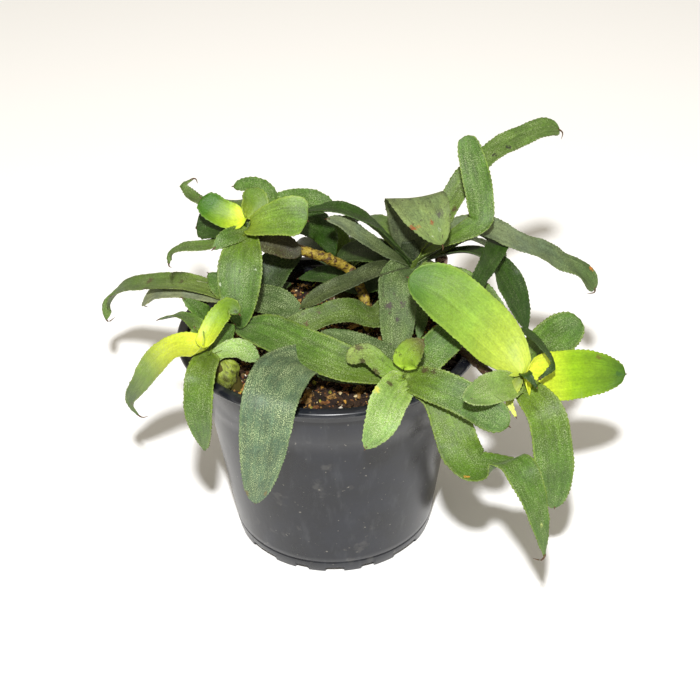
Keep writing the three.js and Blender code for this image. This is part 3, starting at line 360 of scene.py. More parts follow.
ROSETTE_D_LEAVES = {
    "scurfy_left": leaf(9, look="dusty",
        route=[(20, -28, 91), (13, -22, 91), (5, -17, 92), (-3, -13, 93)],
        face=[(0, -1, 2)]),
    "mottled_left": leaf(7.5, cup=0.14, base=0.6, tip=0.2, blunt=0.4, look="mottled", spine=NO_SPINE,
        route=[(19, -40, 94), (13, -39, 99), (6, -38, 97)],
        face=[(0, -1, 2)],
        marks=[(0.8, 0.7, 1.7, "#46382c"), (0.73, -0.92, 1.7, "#342718"), (0.45, -0.9, 1.5, "#423221"),
               (0.18, -0.6, 1.4, "#3c2d1e")]),
    "short_hanging": leaf(12.5, cup=0.1, base=0.7, tip=0.5, blunt=0.6, look="pale",
        route=[(20, -53, 89), (17, -60, 85), (12, -63, 77)],
        face=[(0, -1, 1), (0, -1, 0)],
        marks=[(0.42, 0.9, 1.4, "#d2cc5a"), (0.25, 0.5, 1.7, "#483a2c"), (0.99, 0.92, 0.8, "#9a6a4a")]),
    "low_right": leaf(12, cup=0.08, base=0.6, tip=0.2, blunt=0.45, look="green",
        route=[(35, -48, 92), (46, -54, 90), (60, -60, 83)],
        marks=[(0.2, -0.8, 1.7, "#463725"), (0.28, -0.8, 1.1, "#3c2f1f")]),
    "up_right": leaf(12, cup=0.1, base=0.5, tip=0.3, blunt=0.5, look="green",
        route=[(35, -31, 93), (42, -26, 97), (47, -22, 99)]),
    "twisted_hanging": leaf(14, cup=0.06, base=0.6, tip=0.6, blunt=0.75, look="green", spine=(-4, 0, -1),
        route=[(37, -48, 88), (42, -56, 79), (45, -61, 72), (49, -64, 69), (56, -66, 71),
               (61, -70, 75), (65, -75, 71), (69, -79, 59), (72, -80, 43)],
        face=[(0, -1, 1), (0, -1, 1), (0, -2, 1), (0, -1, 0), (0, -1, 4), (0, 1, 2), (0, -1, 2),
              (1, -2, 2), (1, -2, 1), (1, -2, 0)],
        marks=[(0.86, -0.1, 1.3, "#b4c070"), (0.44, 0.8, 0.8, "#c88a3a")]),
    "long_across": leaf(15, cup=0.14, tip=0.3, look="green",
        route=[(6, -38, 94), (-10, -29, 96), (-24, -16, 95), (-35, -7, 92)],
        face=[(0, -1, 2), (0, -1, 2)]),
    "broad_hanging": leaf(18.5, cup=0.06, base=0.25, spread=0.55, blunt=0.5, look="scurfy",
        route=[(12, -36, 88), (0, -31, 89), (-9, -35, 94), (-15, -47, 98), (-19, -60, 97),
               (-21, -66, 88), (-23, -68, 75), (-26, -67, 58)],
        face=[(0, -1, 4), (0, -1, 4), (0, -1, 3), (0, -1, 1), (0, -1, 0), (0, -1, 0), (0, -1, 0)],
        marks=[(0.96, 0.92, 1.9, "#6c5f40"), (0.95, -0.8, 1.5, "#70643e"), (1, -0.92, 1.3, "#9aa46a")]),
}

ROSETTE_D_HEART = {
    "young_short": leaf(9, cup=0.14, base=0.7, tip=0.5, blunt=0.55, look="browned",
        route=[(27, -42, 100), (32, -43, 107)]),
}

ROSETTE_E_LEAVES = {
    "rounded_back": leaf(14.5, cup=0.1, tip=0.3, blunt=0.4, look="green", spine=NO_SPINE,
        route=[(76, -24, 90), (83, -17, 92), (91, -12, 95)]),
    "long_hanging": leaf(13.5, cup=0.1, base=0.6, tip=0.4, blunt=0.5, look="green",
        route=[(74, -49, 80), (77, -54, 66), (79, -55, 43)],
        face=[(0, -1, 1), (0, -1, 0)]),
    "short_left": leaf(11, cup=0.14, tip=0.5, blunt=0.5, look="pale", spine=NO_SPINE,
        route=[(58, -47, 90), (50, -57, 94), (44, -64, 97)],
        marks=[(0.89, -0.2, 1, "#533e4b")]),
    "curled_over": leaf(4, cup=0.1, look="deep",
        route=[(63, -27, 92), (67, -27, 100), (73, -35, 99), (77, -40, 94), (72, -44, 91)],
        face=[(0, -1, 2), (0, 0, 1), (1, 0, 1)]),
}

ROSETTE_E_HEART = {
    "long_upper_left": leaf(20, cup=0.14, base=0.4, tip=0.3, blunt=0.45, look="lemon",
        route=[(61, -33, 96), (50, -30, 107), (39, -27, 116), (28, -25, 121)]),
    "broad_right": leaf(17.5, cup=0.06, base=0.6, spread=0.25, tip=0.55, blunt=0.45, look="yellow",
        route=[(77, -35, 86), (90, -32, 85), (105, -30, 83)],
        face=[(0, -2, 1)],
        marks=[(0.94, 0, 2.2, "#315321"), (0.73, -0.8, 1.2, "#5f5321")]),
    "heart_leaf": leaf(4, cup=0.2, tip=0.9, blunt=0.9, look="deep",
        route=[(68, -43, 92), (71, -46, 89)],
        face=[(0, -1, 2)]),
    "bract": leaf(4, cup=0.2, tip=0.8, blunt=0.9, look="bract",
        route=[(62, -45, 83), (64, -49, 79)]),
}

ROSETTE_H_LEAVES = {
    "long_left": leaf(10, cup=0.14, tip=0.35, blunt=0.5, look="grey", spine=(4, 0, 1),
        route=[(-53, 28, 90), (-73, 44, 82), (-87, 56, 73), (-95, 63, 62), (-97, 62, 55)],
        face=[(0, -1, 3)],
        marks=[(0.54, 0.3, 2.2, "#53462f"), (0.5, -0.92, 1.4, "#3a2d25"),
               (0.78, -0.92, 2.7, "#534835"), (0.31, 0.1, 1.5, "#463a29")]),
    "hooked_left": leaf(9, cup=0.14, tip=0.2, blunt=0.5, look="silver", spine=(2, 0, -2),
        route=[(-53, 26, 88), (-69, 38, 81), (-77, 44, 73)],
        face=[(0, -1, 2)]),
    "short_up": leaf(10, look="green",
        route=[(-42, 24, 92), (-47, 28, 95)],
        face=[(0, -1, 2)]),
    "front_left": leaf(8, look="green",
        route=[(-44, 4, 89), (-50, 2, 95), (-54, 2, 99)],
        face=[(0, -1, 2)]),
    "scurfy_right": leaf(13, look="dusty",
        route=[(-25, 8, 94), (-17, 3, 94), (-9, -1, 92)],
        face=[(0, -1, 2)]),
    "up_right": leaf(14, tip=0.5, look="shaded",
        route=[(-25, 17, 97), (-19, 20, 103), (-10, 24, 106)]),
    "small_right": leaf(7, look="shaded",
        route=[(-25, 21, 91), (-15, 24, 92)],
        face=[(0, -1, 2)]),
}

ROSETTE_J_LEAVES = {
    "straight_back": leaf(15, look="green",
        route=[(6, 50, 96), (7, 63, 91), (8, 72, 78)],
        face=[(0, 1, 2)]),
    "back_left": leaf(14, look="shaded",
        route=[(-8, 45, 95), (-17, 57, 90), (-22, 66, 78)],
        face=[(-1, 1, 2)]),
    "back_right": leaf(14, look="green",
        route=[(18, 45, 95), (30, 57, 88), (36, 66, 76)],
        face=[(1, 1, 2)]),
    "low_right": leaf(12, look="shaded",
        route=[(20, 37, 91), (34, 41, 91), (47, 46, 84)],
        face=[(1, 0, 2)]),
    "heart": leaf(9, cup=0.3, look="fresh",
        route=[(4, 39, 100), (3, 42, 109)]),
}

ROSETTES = {
    "rosette_a_leaves": dict(slot="green_leaf", crown=(-29, 13, 121), core=(4.8, 4.8, 5), radius=3.4,
                             stem=[(-22, 13, 116), (-26, 13, 118)], leaves=ROSETTE_A_LEAVES),
    "rosette_b_leaves": dict(slot="grey_green_leaf", crown=(31, 15, 104), core=(5.6, 5.6, 6), radius=3.6,
                             stem=[(26, 6, 71), (28, 8, 88)], leaves=ROSETTE_B_LEAVES),
    "rosette_c_leaves": dict(slot="green_leaf", crown=(-42, -30, 94), core=(4, 4, 4.2), radius=3.2,
                             stem=[(-33, -26, 71), (-36, -28, 84)], leaves=ROSETTE_C_LEAVES,
                             bulb=((-37, -28.5, 85.5), (4.9, 4.7, 6))),
    "rosette_d_leaves": dict(slot="grey_green_leaf", crown=(26, -39, 89), core=(4.8, 4.8, 4.6),
                             radius=3.2, stem=[(24, -34, 71), (25, -37, 80)], leaves=ROSETTE_D_LEAVES),
    "rosette_e_leaves": dict(slot="green_leaf", crown=(67, -37, 84), core=(3.7, 3.7, 3.6), radius=2.8,
                             stem=[(61, -36, 84), (64, -37, 83)], leaves=ROSETTE_E_LEAVES),
    "rosette_h_leaves": dict(slot="grey_green_leaf", crown=(-36, 16, 89), core=(4, 4, 4), radius=3.2,
                             stem=[(-33, 14, 71), (-35, 15, 80)], leaves=ROSETTE_H_LEAVES),
    "rosette_j_leaves": dict(slot="grey_green_leaf", crown=(5, 36, 89), core=(4, 4, 4.4), radius=3.2,
                             stem=[(5, 32, 71), (5, 34, 80)], leaves=ROSETTE_J_LEAVES),
}

HEARTS = {
    "rosette_a_heart": dict(bud=(-30, 15, 125), leaves=ROSETTE_A_HEART),
    "rosette_c_heart": dict(bud=(-43, -32, 98), leaves=ROSETTE_C_HEART),
    "rosette_d_heart": dict(bud=(26, -40, 94.5), leaves=ROSETTE_D_HEART),
    "rosette_e_heart": dict(bud=(67, -38, 89), leaves=ROSETTE_E_HEART),
}

STOLONS = {
    "stolon_a": dict(radius=2, paint=("#98842a", "#4c3012"),
                     route=[(15, 6, 74), (14, 10, 89), (9, 17, 100), (1, 15, 107), (-9, 13, 112),
                            (-21, 13, 116)]),
    "stolon_e": dict(radius=1.7, paint=("#4a3a1c", "#22160c"),
                     route=[(34, -12, 73), (37, -15, 86), (46, -22, 90), (54, -30, 87), (60, -36, 84)]),
    "stolon_stump": dict(radius=2.3, paint=("#a08272", "#5c3a2c"),
                         route=[(42, 16, 74), (42, 19, 90), (43, 22, 104)]),
}


def colour(code):
    """An sRGB hex colour as linear RGBA."""
    values = [int(code[i:i + 2], 16) / 255 for i in (1, 3, 5)]
    return [v / 12.92 if v <= 0.04045 else ((v + 0.055) / 1.055) ** 2.4 for v in values] + [1.0]


def active(name):
    """The object that the last operator made, named."""
    made = bpy.context.object
    made.name = made.data.name = name
    return made


def select_only(*objects):
    bpy.ops.object.select_all(action="DESELECT")
    for one in objects:
        one.select_set(True)
    bpy.context.view_layer.objects.active = objects[0]


def join(name, parts):
    select_only(*parts)
    bpy.ops.object.join()
    return active(name)


def modify(piece, kind, **settings):
    """Adds a modifier with these settings and applies it."""
    select_only(piece)
    modifier = piece.modifiers.new(kind, kind)
    for key, value in settings.items():
        setattr(modifier, key, value)
    bpy.ops.object.modifier_apply(modifier=modifier.name)


def smooth(piece):
    select_only(piece)
    bpy.ops.object.shade_smooth()


def weld(piece, distance=1e-5):
    """Merges doubled vertices, such as seams and poles, and turns all faces outward."""
    select_only(piece)
    bpy.ops.object.mode_set(mode="EDIT")
    bpy.ops.mesh.select_all(action="SELECT")
    bpy.ops.mesh.remove_doubles(threshold=distance)
    bpy.ops.mesh.normals_make_consistent(inside=False)
    bpy.ops.object.mode_set(mode="OBJECT")


def new_grid(name, columns, rows):
    """A flat grid to be bent into shape, the place of each vertex across it, from -0.5 to 0.5, and the
    row that each vertex is in."""
    bpy.ops.object.select_all(action="DESELECT")
    bpy.ops.mesh.primitive_grid_add(x_subdivisions=columns, y_subdivisions=rows, size=1)
    piece = active(name)
    grid = read_points(piece)
    return piece, grid[:, 0], np.round((grid[:, 1] + 0.5) * rows).astype(int)


def read_points(piece):
    values = np.zeros(3 * len(piece.data.vertices))
    piece.data.vertices.foreach_get("co", values)
    return values.reshape(-1, 3)


def write_points(piece, points):
    piece.data.vertices.foreach_set("co", np.asarray(points, float).ravel())
    piece.data.update()


def set_values(piece, name, values):
    """Writes a number or a colour per vertex, for the materials to read."""
    values = np.asarray(values, float)
    kind = "FLOAT" if values.ndim == 1 else "FLOAT_COLOR"
    attribute = piece.data.attributes.get(name) or piece.data.attributes.new(name, kind, "POINT")
    attribute.data.foreach_set("value" if kind == "FLOAT" else "color", values.ravel())


def set_paint(piece, code):
    set_values(piece, "paint", np.tile(colour(code), (len(piece.data.vertices), 1)))


def set_skin(piece, scurf, spots):
    """How much pale scurf and how many dark spots the whole piece has."""
    for name, value in (("scurf", scurf), ("spots", spots)):
        set_values(piece, name, np.full(len(piece.data.vertices), value))


def set_map(piece, flat):
    """The piece's leaf_mm map: the place of each vertex on the flattened surface, in millimetres."""
    layer = piece.data.uv_layers.active
    layer.name = "leaf_mm"
    corners = np.array([loop.vertex_index for loop in piece.data.loops])
    layer.data.foreach_set("uv", flat[corners].ravel())


def curve_points(route, count):
    """Evenly spaced places on the centripetal Catmull-Rom curve through the route, and its length."""
    points = [np.array(point, float) for point in route]
    points = [2 * points[0] - points[1], *points, 2 * points[-1] - points[-2]]
    t = np.linspace(0, 1, 40, endpoint=False)[:, None]
    dense = []
    for p0, p1, p2, p3 in zip(points, points[1:], points[2:], points[3:]):
        d0, d1, d2 = (np.linalg.norm(b - a) ** 0.5 for a, b in ((p0, p1), (p1, p2), (p2, p3)))
        out = ((p1 - p0) / d0 - (p2 - p0) / (d0 + d1) + (p2 - p1) / d1) * d1
        into = ((p2 - p1) / d1 - (p3 - p1) / (d1 + d2) + (p3 - p2) / d2) * d1
        dense.append(p1 + out * t + (3 * (p2 - p1) - 2 * out - into) * t ** 2
                     + (2 * (p1 - p2) + out + into) * t ** 3)
    dense = np.vstack([*dense, [points[-2]]])
    lengths = np.concatenate([[0], np.cumsum(np.linalg.norm(np.diff(dense, axis=0), axis=1))])
    places = np.linspace(0, lengths[-1], count)
    return np.stack([np.interp(places, lengths, dense[:, k]) for k in range(3)], axis=1), lengths[-1]


def unit(vectors):
    return vectors / np.linalg.norm(vectors, axis=-1, keepdims=True)


def square_to(tangent, vectors):
    """The vectors turned square to the tangents, with unit length."""
    return unit(vectors - tangent * (vectors * tangent).sum(1, keepdims=True))


def interpolate(rows, t):
    """Values between the rows, which are spread evenly from 0 to 1."""
    rows = np.array(rows, float)
    steps = np.linspace(0, 1, len(rows)) if len(rows) > 1 else np.array([0.0])
    return np.stack([np.interp(t, steps, rows[:, k]) for k in range(rows.shape[1])], axis=1)


def width_share(t, spec):
    """Share of its full width that a leaf has at each share of its length."""
    grown = spec["base"] + (1 - spec["base"]) * np.sin(np.minimum(t / spec["spread"], 1) * math.pi / 2)
    return grown * np.sin(np.clip((1 - t) / spec["tip"], 0, 1) * math.pi / 2) ** spec["blunt"]


def leaf_rows(spec, start, rows):
    """Midrib, its direction, the way the upper side looks, the side direction and both half widths. The
    blade is narrower on the inside of a tight bend."""
    middle, length = curve_points([start, *spec["route"]], rows + 1)
    t = np.linspace(0, 1, rows + 1)
    tangent = unit(np.gradient(middle, axis=0))
    face = square_to(tangent, interpolate(spec["face"], t))
    side = np.cross(tangent, face)
    bend = (np.gradient(tangent, axis=0) * side).sum(1) / (length / rows)
    share = width_share(t, spec)
    half = np.maximum(spec["width"] / 2 * share, TIP_HALF_WIDTH)
    inner = np.minimum(half, BEND_SHARE / np.maximum(np.abs(bend), 1e-3))
    return dict(middle=middle, length=length, t=t, tangent=tangent, face=face, side=side, share=share,
                left=np.where(bend < 0, inner, half), right=np.where(bend > 0, inner, half))


def surface(spec, line, row, place):
    """Reach to the side and lift above the midrib, in mm, at a row and a place across from -1 to 1."""
    along = line["t"][row]
    reach = place * np.where(place < 0, line["left"][row], line["right"][row])
    cup = spec["cup"] + (SHEATH_CUP - spec["cup"]) * np.maximum(1 - along / SHEATH_LENGTH_SHARE, 0) ** 2
    lift = cup * spec["width"] * line["share"][row] * place ** 2
    return reach, lift + spec["wave"] * np.sin(along * WAVE_RATE + place) * place ** 2


def blade_points(spec, line, row, place, rng):
    """Places of a blade's vertices in mm, with a rounded base, ripples and small teeth at its edges."""
    along = line["t"][row]
    distance = along * line["length"]
    reach, lift = surface(spec, line, row, place)
    reach *= np.sqrt(np.clip(distance / ROUNDED_BASE, 0, 1)) * 0.9 + 0.1
    seed = rng.uniform(0, 100)
    lift += np.array([RIPPLE_HEIGHT * noise.noise(Vector((r / RIPPLE_WIDTH, d / RIPPLE_LENGTH, seed)))
                      + EDGE_RIPPLE_HEIGHT * p * p
                      * noise.noise(Vector((p * 2, d / EDGE_RIPPLE_LENGTH, seed + 7)))
                      for r, d, p in zip(reach, distance, place)])
    edge = np.abs(place) > 0.999
    toothed = np.clip(np.minimum(along / TOOTHLESS_BASE, (1 - along) / TOOTHLESS_TIP), 0, 1)
    tooth = TOOTH_HEIGHT * (row % 2) * toothed
    reach += np.sign(place) * edge * tooth * np.array([rng.uniform(0.3, 1.2) for _ in place])
    points = line["middle"][row] + line["side"][row] * reach[:, None] + line["face"][row] * lift[:, None]
    return points + line["tangent"][row] * (edge * tooth * TOOTH_LEAN)[:, None]


def leaf_paint(spec, along, place):
    """Colour per vertex, from base to tip, with thin margins towards a colour of their own."""
    look = LOOKS[spec["look"]]
    stops = np.array([colour(code) for code in look["colours"]])
    paint = np.stack([np.interp(along, look["stops"], stops[:, k]) for k in range(4)], axis=1)
    margin = (np.abs(place) > MARGIN_PLACE)[:, None] * MARGIN_SHARE
    return paint * (1 - margin) + np.array(colour(look["margin"])) * margin


def leaf_marks(spec, place, distance):
    """Nearness of a leaf's own marks per vertex, 1 at their middle and 0.5 at their edge, and colour."""
    near = np.zeros(len(place))
    paint = np.zeros((len(place), 4))
    for mark_along, mark_place, size, code in spec["marks"]:
        centre = distance.max() * mark_along
        away = np.hypot(distance - centre, (place - mark_place) * spec["width"] / 2) / size
        nearer = 1 - away * 0.5 > near
        near[nearer] = 1 - away[nearer] * 0.5
        reached = (away < 3) & (nearer | ~paint.any(axis=1))
        paint[reached] = colour(code)
    return near, paint


def thin_solid(piece, place, thickness):
    """Thickens a sheet into a closed blade that is thinner at its edges."""
    group = piece.vertex_groups.new(name="thickness")
    for index, value in enumerate(BLADE_EDGE_SHARE + (1 - BLADE_EDGE_SHARE) * (1 - place ** 2)):
        group.add([index], float(value), "REPLACE")
    modify(piece, "SOLIDIFY", thickness=thickness * MM, offset=0, vertex_group="thickness", use_rim=True)


def dull_underside(piece):
    """Greys the underside of a blade, whose vertices follow those of its upper side."""
    values = np.zeros(4 * len(piece.data.vertices))
    piece.data.attributes["paint"].data.foreach_get("color", values)
    upper, under = np.split(values.reshape(-1, 4), 2)
    set_values(piece, "paint", np.vstack([upper, under * 0.8 + np.array(colour(UNDERSIDE)) * 0.08]))


def blade(name, spec, start, rng, clasping):
    """One leaf from the crown to its tip: a closed blade with its spine, and with its clasping sheath
    where it has one."""
    look = LOOKS[spec["look"]]
    length = curve_points([start, *spec["route"]], 2)[1]
    rows = max(LEAST_ROWS, round(length / ROW_SPACING))
    columns = WIDE_LEAF_COLUMNS if spec["width"] > WIDE_LEAF else NARROW_LEAF_COLUMNS
    line = leaf_rows(spec, start, rows)
    piece, across, row = new_grid(name, columns, rows)
    place = np.sin(across * math.pi)
    along = line["t"][row]
    distance = along * length
    write_points(piece, blade_points(spec, line, row, place, rng) * MM)
    set_values(piece, "paint", leaf_paint(spec, along, place))
    near, mark_paint = leaf_marks(spec, place, distance)
    set_values(piece, "mark", near)
    set_values(piece, "mark_paint", mark_paint)
    set_skin(piece, look["scurf"], look["spots"])
    offset = (rng.uniform(0, MAP_SPREAD), rng.uniform(0, MAP_SPREAD))
    set_map(piece, np.stack([place * spec["width"] / 2 + offset[0], distance + offset[1]], axis=1))
    thin_solid(piece, place, BLADE_THICKNESS)
    dull_underside(piece)
    smooth(piece)
    parts = [piece]
    if clasping:
        parts.append(sheath(name + "_sheath", spec, start, line))
    if spec["spine"] != NO_SPINE:
        parts.append(leaf_spine(name + "_spine", spec, line, rng))
    return parts


def leaf_spine(name, spec, line, rng):
    """The short dry spine at a leaf's tip, bent the way that its leaf asks."""
    direction = line["tangent"][-1]
    reach = spec["spine"] or tuple(direction * rng.uniform(0.7, 1.3) - line["face"][-1] * 0.3)
    tip = line["middle"][-1]
    bow = tip + direction * 0.35 * np.linalg.norm(reach) + np.array(reach) * 0.3
    spine = tube(name, [tip - direction * 0.9, tip, bow, tip + np.array(reach)],
                 lambda share: SPINE_RADIUS * (1 - share) ** 0.8 + 0.05, 6, 8)
    set_paint(spine, SPINE_COLOUR)
    return spine


def sheath(name, spec, start, line):
    """The broad clasping sheath under the base of a leaf, which rises from the stem and bends out."""
    start = np.array(start, float)
    reach = min(SHEATH_REACH, 0.6 * line["length"])
    out = line["middle"][np.searchsorted(line["t"] * line["length"], reach)] - start
    face = line["face"][0]
    level = unit(np.array((out[0], out[1], 0.0)) + 1e-6)
    route = [start - level * 0.6 - (0, 0, SHEATH_DROP), start + level * 1.6 - (0, 0, SHEATH_DROP * 0.35),
             start + out * 0.45 - face * 0.2, start + out - face * 0.45]
    width = min(max(spec["width"] * SHEATH_WIDTH_SHARE, SHEATH_LEAST_WIDTH), SHEATH_MOST_WIDTH)
    middle, length = curve_points(route, SHEATH_ROWS + 1)
    piece, across, row = new_grid(name, SHEATH_COLUMNS, SHEATH_ROWS)
    place = np.sin(across * math.pi)
    along = np.linspace(0, 1, SHEATH_ROWS + 1)
    tangent = unit(np.gradient(middle, axis=0))
    looks = square_to(tangent, interpolate([-level, -level * 0.4 + face * 0.6, face], along))
    side = np.cross(tangent, looks)
    half = width / 2 * (1 - 0.55 * along ** 2)
    wrap = SHEATH_WRAP * (1 - along) ** 0.7 + 0.05
    angle = place * wrap[row]
    reach = half[row] * np.sin(angle) / wrap[row]
    lift = half[row] * (1 - np.cos(angle)) / wrap[row]
    points = middle[row] + side[row] * reach[:, None] + looks[row] * lift[:, None]
    write_points(piece, points * MM)
    look = LOOKS[spec["look"]]
    # Painted shade: the sheath's colour darkens towards its foot, deep in the crown between the leaf bases
    shade = np.interp(along[row], (0, 0.5, 1), (0.5, 0.75, 1.0))[:, None]
    set_values(piece, "paint", np.array(colour(look["colours"][0])) * shade)
    set_skin(piece, look["scurf"], look["spots"])
    set_map(piece, np.stack([place * width / 2, along[row] * length], axis=1))
    thin_solid(piece, place, SHEATH_THICKNESS)
    smooth(piece)
    return piece


def tube(name, route, radius, sides=16, rings=24):
    """A closed round tube along a route, not painted yet; radius gives its radius in mm at each share of
    its length."""
    piece, across, ring = new_grid(name, sides, rings)
    middle = curve_points(route, rings - 1)[0]
    inside = np.clip(ring - 1, 0, rings - 2)
    tangent = unit(np.gradient(middle, axis=0))
    sideways = square_to(tangent, np.array(((1.0, 0.1, 0.05),)))
    upward = np.cross(tangent, sideways)
    angle = 2 * math.pi * across
    size = np.array([radius(share) for share in np.linspace(0, 1, rings - 1)])[inside]
    size = np.where((ring == 0) | (ring == rings), 0, size)
    points = middle[inside] + sideways[inside] * (size * np.cos(angle))[:, None]
    points += upward[inside] * (size * np.sin(angle))[:, None]
    write_points(piece, points * MM)
    piece.data.uv_layers.active.name = "leaf_mm"
    set_values(piece, "share", np.clip((ring - 1) / (rings - 2), 0, 1))
    set_skin(piece, 0, 0)
    weld(piece)
    smooth(piece)
    return piece


def ball(name, centre, radii):
    """An egg-shaped ball, not painted yet."""
    bpy.ops.object.select_all(action="DESELECT")
    bpy.ops.mesh.primitive_uv_sphere_add(segments=28, ring_count=18, radius=1)
    piece = active(name)
    write_points(piece, (read_points(piece) * np.array(radii) + np.array(centre)) * MM)
    piece.data.uv_layers.active.name = "leaf_mm"
    set_skin(piece, 0.2, 0)
    smooth(piece)
    return piece


def swollen_base(name, centre, radii):
    """The lumpy sheath base of the front left rosette: yellow-green, ribbed, and blotched with the dark
    brown of its torn old sheaths, most of all at its foot."""
    piece = ball(name, centre, radii)
    points = read_points(piece) / MM
    away = points - np.array(centre)
    turn = np.arctan2(away[:, 1], away[:, 0])
    swell = 1 + 0.05 * np.sin(turn * 9 + away[:, 2] * 0.3)
    swell += [0.2 * noise.noise(Vector(p / 3.2)) + 0.07 * noise.noise(Vector(p)) for p in points]
    write_points(piece, (np.array(centre) + away * swell[:, None]) * MM)
    height = away[:, 2] / radii[2]
    stain = [0.9 * noise.noise(Vector(p / 2.2)) + 0.7 * noise.noise(Vector(p * 1.3)) for p in points]
    foot = np.clip((0.5 - height) * 0.9 + 2 * np.array(stain), 0, 1)[:, None]
    green, brown = np.array(colour("#8a9a34")), np.array(colour("#2c1c0a"))
    set_values(piece, "paint", green * (1 - foot) + brown * foot)
    set_skin(piece, 0.5, 1)
    round_way = np.arctan2(away[:, 0], -away[:, 1]) * radii[0]
    set_map(piece, np.stack([round_way, away[:, 2]], axis=1))
    return piece


def place_in_frame(piece, node, material):
    """The piece takes the place of its CAD node, with this finish."""
    piece.data.materials.clear()
    piece.data.materials.append(material)
    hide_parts(node)
    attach(piece, "root")


# Sockets of a node that mixes colours: its share, the two colours and the result
MIX_SHARE, MIX_UNDER, MIX_OVER, MIX_RESULT = 0, 6, 7, 2


class Shader:
    """A material whose nodes are added one by one to its Principled surface."""

    def __init__(self, name):
        self.material = bpy.data.materials.new(name)
        self.material.use_nodes = True
        self.tree = self.material.node_tree
        self.surface = self.tree.nodes["Principled BSDF"]

    def add(self, kind, inputs=(), output=0, **settings):
        """Adds a node with its settings and links, and returns one of its outputs. Its inputs are given
        in their order, or by name or number."""
        node = self.tree.nodes.new("ShaderNode" + kind)
        for key, value in settings.items():
            setattr(node, key, value)
        self.connect(node, inputs if isinstance(inputs, dict) else dict(enumerate(inputs)))
        return node.outputs[output]

    def connect(self, node, inputs):
        """Links each input to a socket, or sets it to a value or a hex colour."""
        for key, value in inputs.items():
            if isinstance(value, bpy.types.NodeSocket):
                self.tree.links.new(value, node.inputs[key])
            else:
                node.inputs[key].default_value = colour(value) if isinstance(value, str) else value

    def place_mm(self):
        """The place on the object in millimetres."""
        place = self.add("TexCoord", output="Object")
        return self.add("Mapping", {"Vector": place, "Scale": (1 / MM, 1 / MM, 1 / MM)})

    def pattern(self, place, features, detail, roughness=0.5):
        """A cloudy pattern with this many features per millimetre along each axis."""
        stretched = self.add("Mapping", {"Vector": place, "Scale": features})
        return self.add("TexNoise", {"Vector": stretched, "Scale": 1, "Detail": detail,
                                     "Roughness": roughness})

    def shade(self, base, pattern, low, high, depth):
        """The base colour darker and lighter by the depth, as the pattern goes from low to high."""
        factor = self.add("MapRange", (pattern, low, high, 1 - depth, 1 + depth))
        return self.add("Mix", {MIX_SHARE: 1.0, MIX_UNDER: base, MIX_OVER: factor}, MIX_RESULT,
                        data_type="RGBA", blend_type="MULTIPLY")

    def cover(self, base, paint, pattern, low, high, most=1.0, blend="MIX"):
        """The base colour under a paint that grows from none to its most as the pattern goes from low to
        high."""
        share = self.add("MapRange", (pattern, low, high, 0, most), interpolation_type="SMOOTHSTEP")
        return self.add("Mix", {MIX_SHARE: share, MIX_UNDER: base, MIX_OVER: paint}, MIX_RESULT,
                        data_type="RGBA", blend_type=blend)

    def finish(self, inputs):
        self.connect(self.surface, inputs)
        return self.material


# Patterns on the leaves: features per millimetre across and along the leaf, detail and roughness. The
# flecks of scurf are coarser than real ones, so that they show
LEAF_PATTERNS = {
    "veins": ((1.7, 0.05, 1), 2, 0.5),
    "stripes": ((0.6, 0.02, 1), 2, 0.5),
    "grains": ((1.15, 0.85, 1), 4, 0.75),
    "clouds": ((0.2, 0.13, 1), 4, 0.6),
    "haze": ((0.15, 0.1, 1), 4, 0.65),
    "flecks": ((3.0, 2.1, 1), 2, 0.75),
    "streaks": ((0.9, 0.09, 1), 3, 0.6),
    "blotches": ((0.5, 0.36, 1), 5, 0.7),
    "torn_edges": ((1.7, 1.2, 1), 4, 0.75),
}


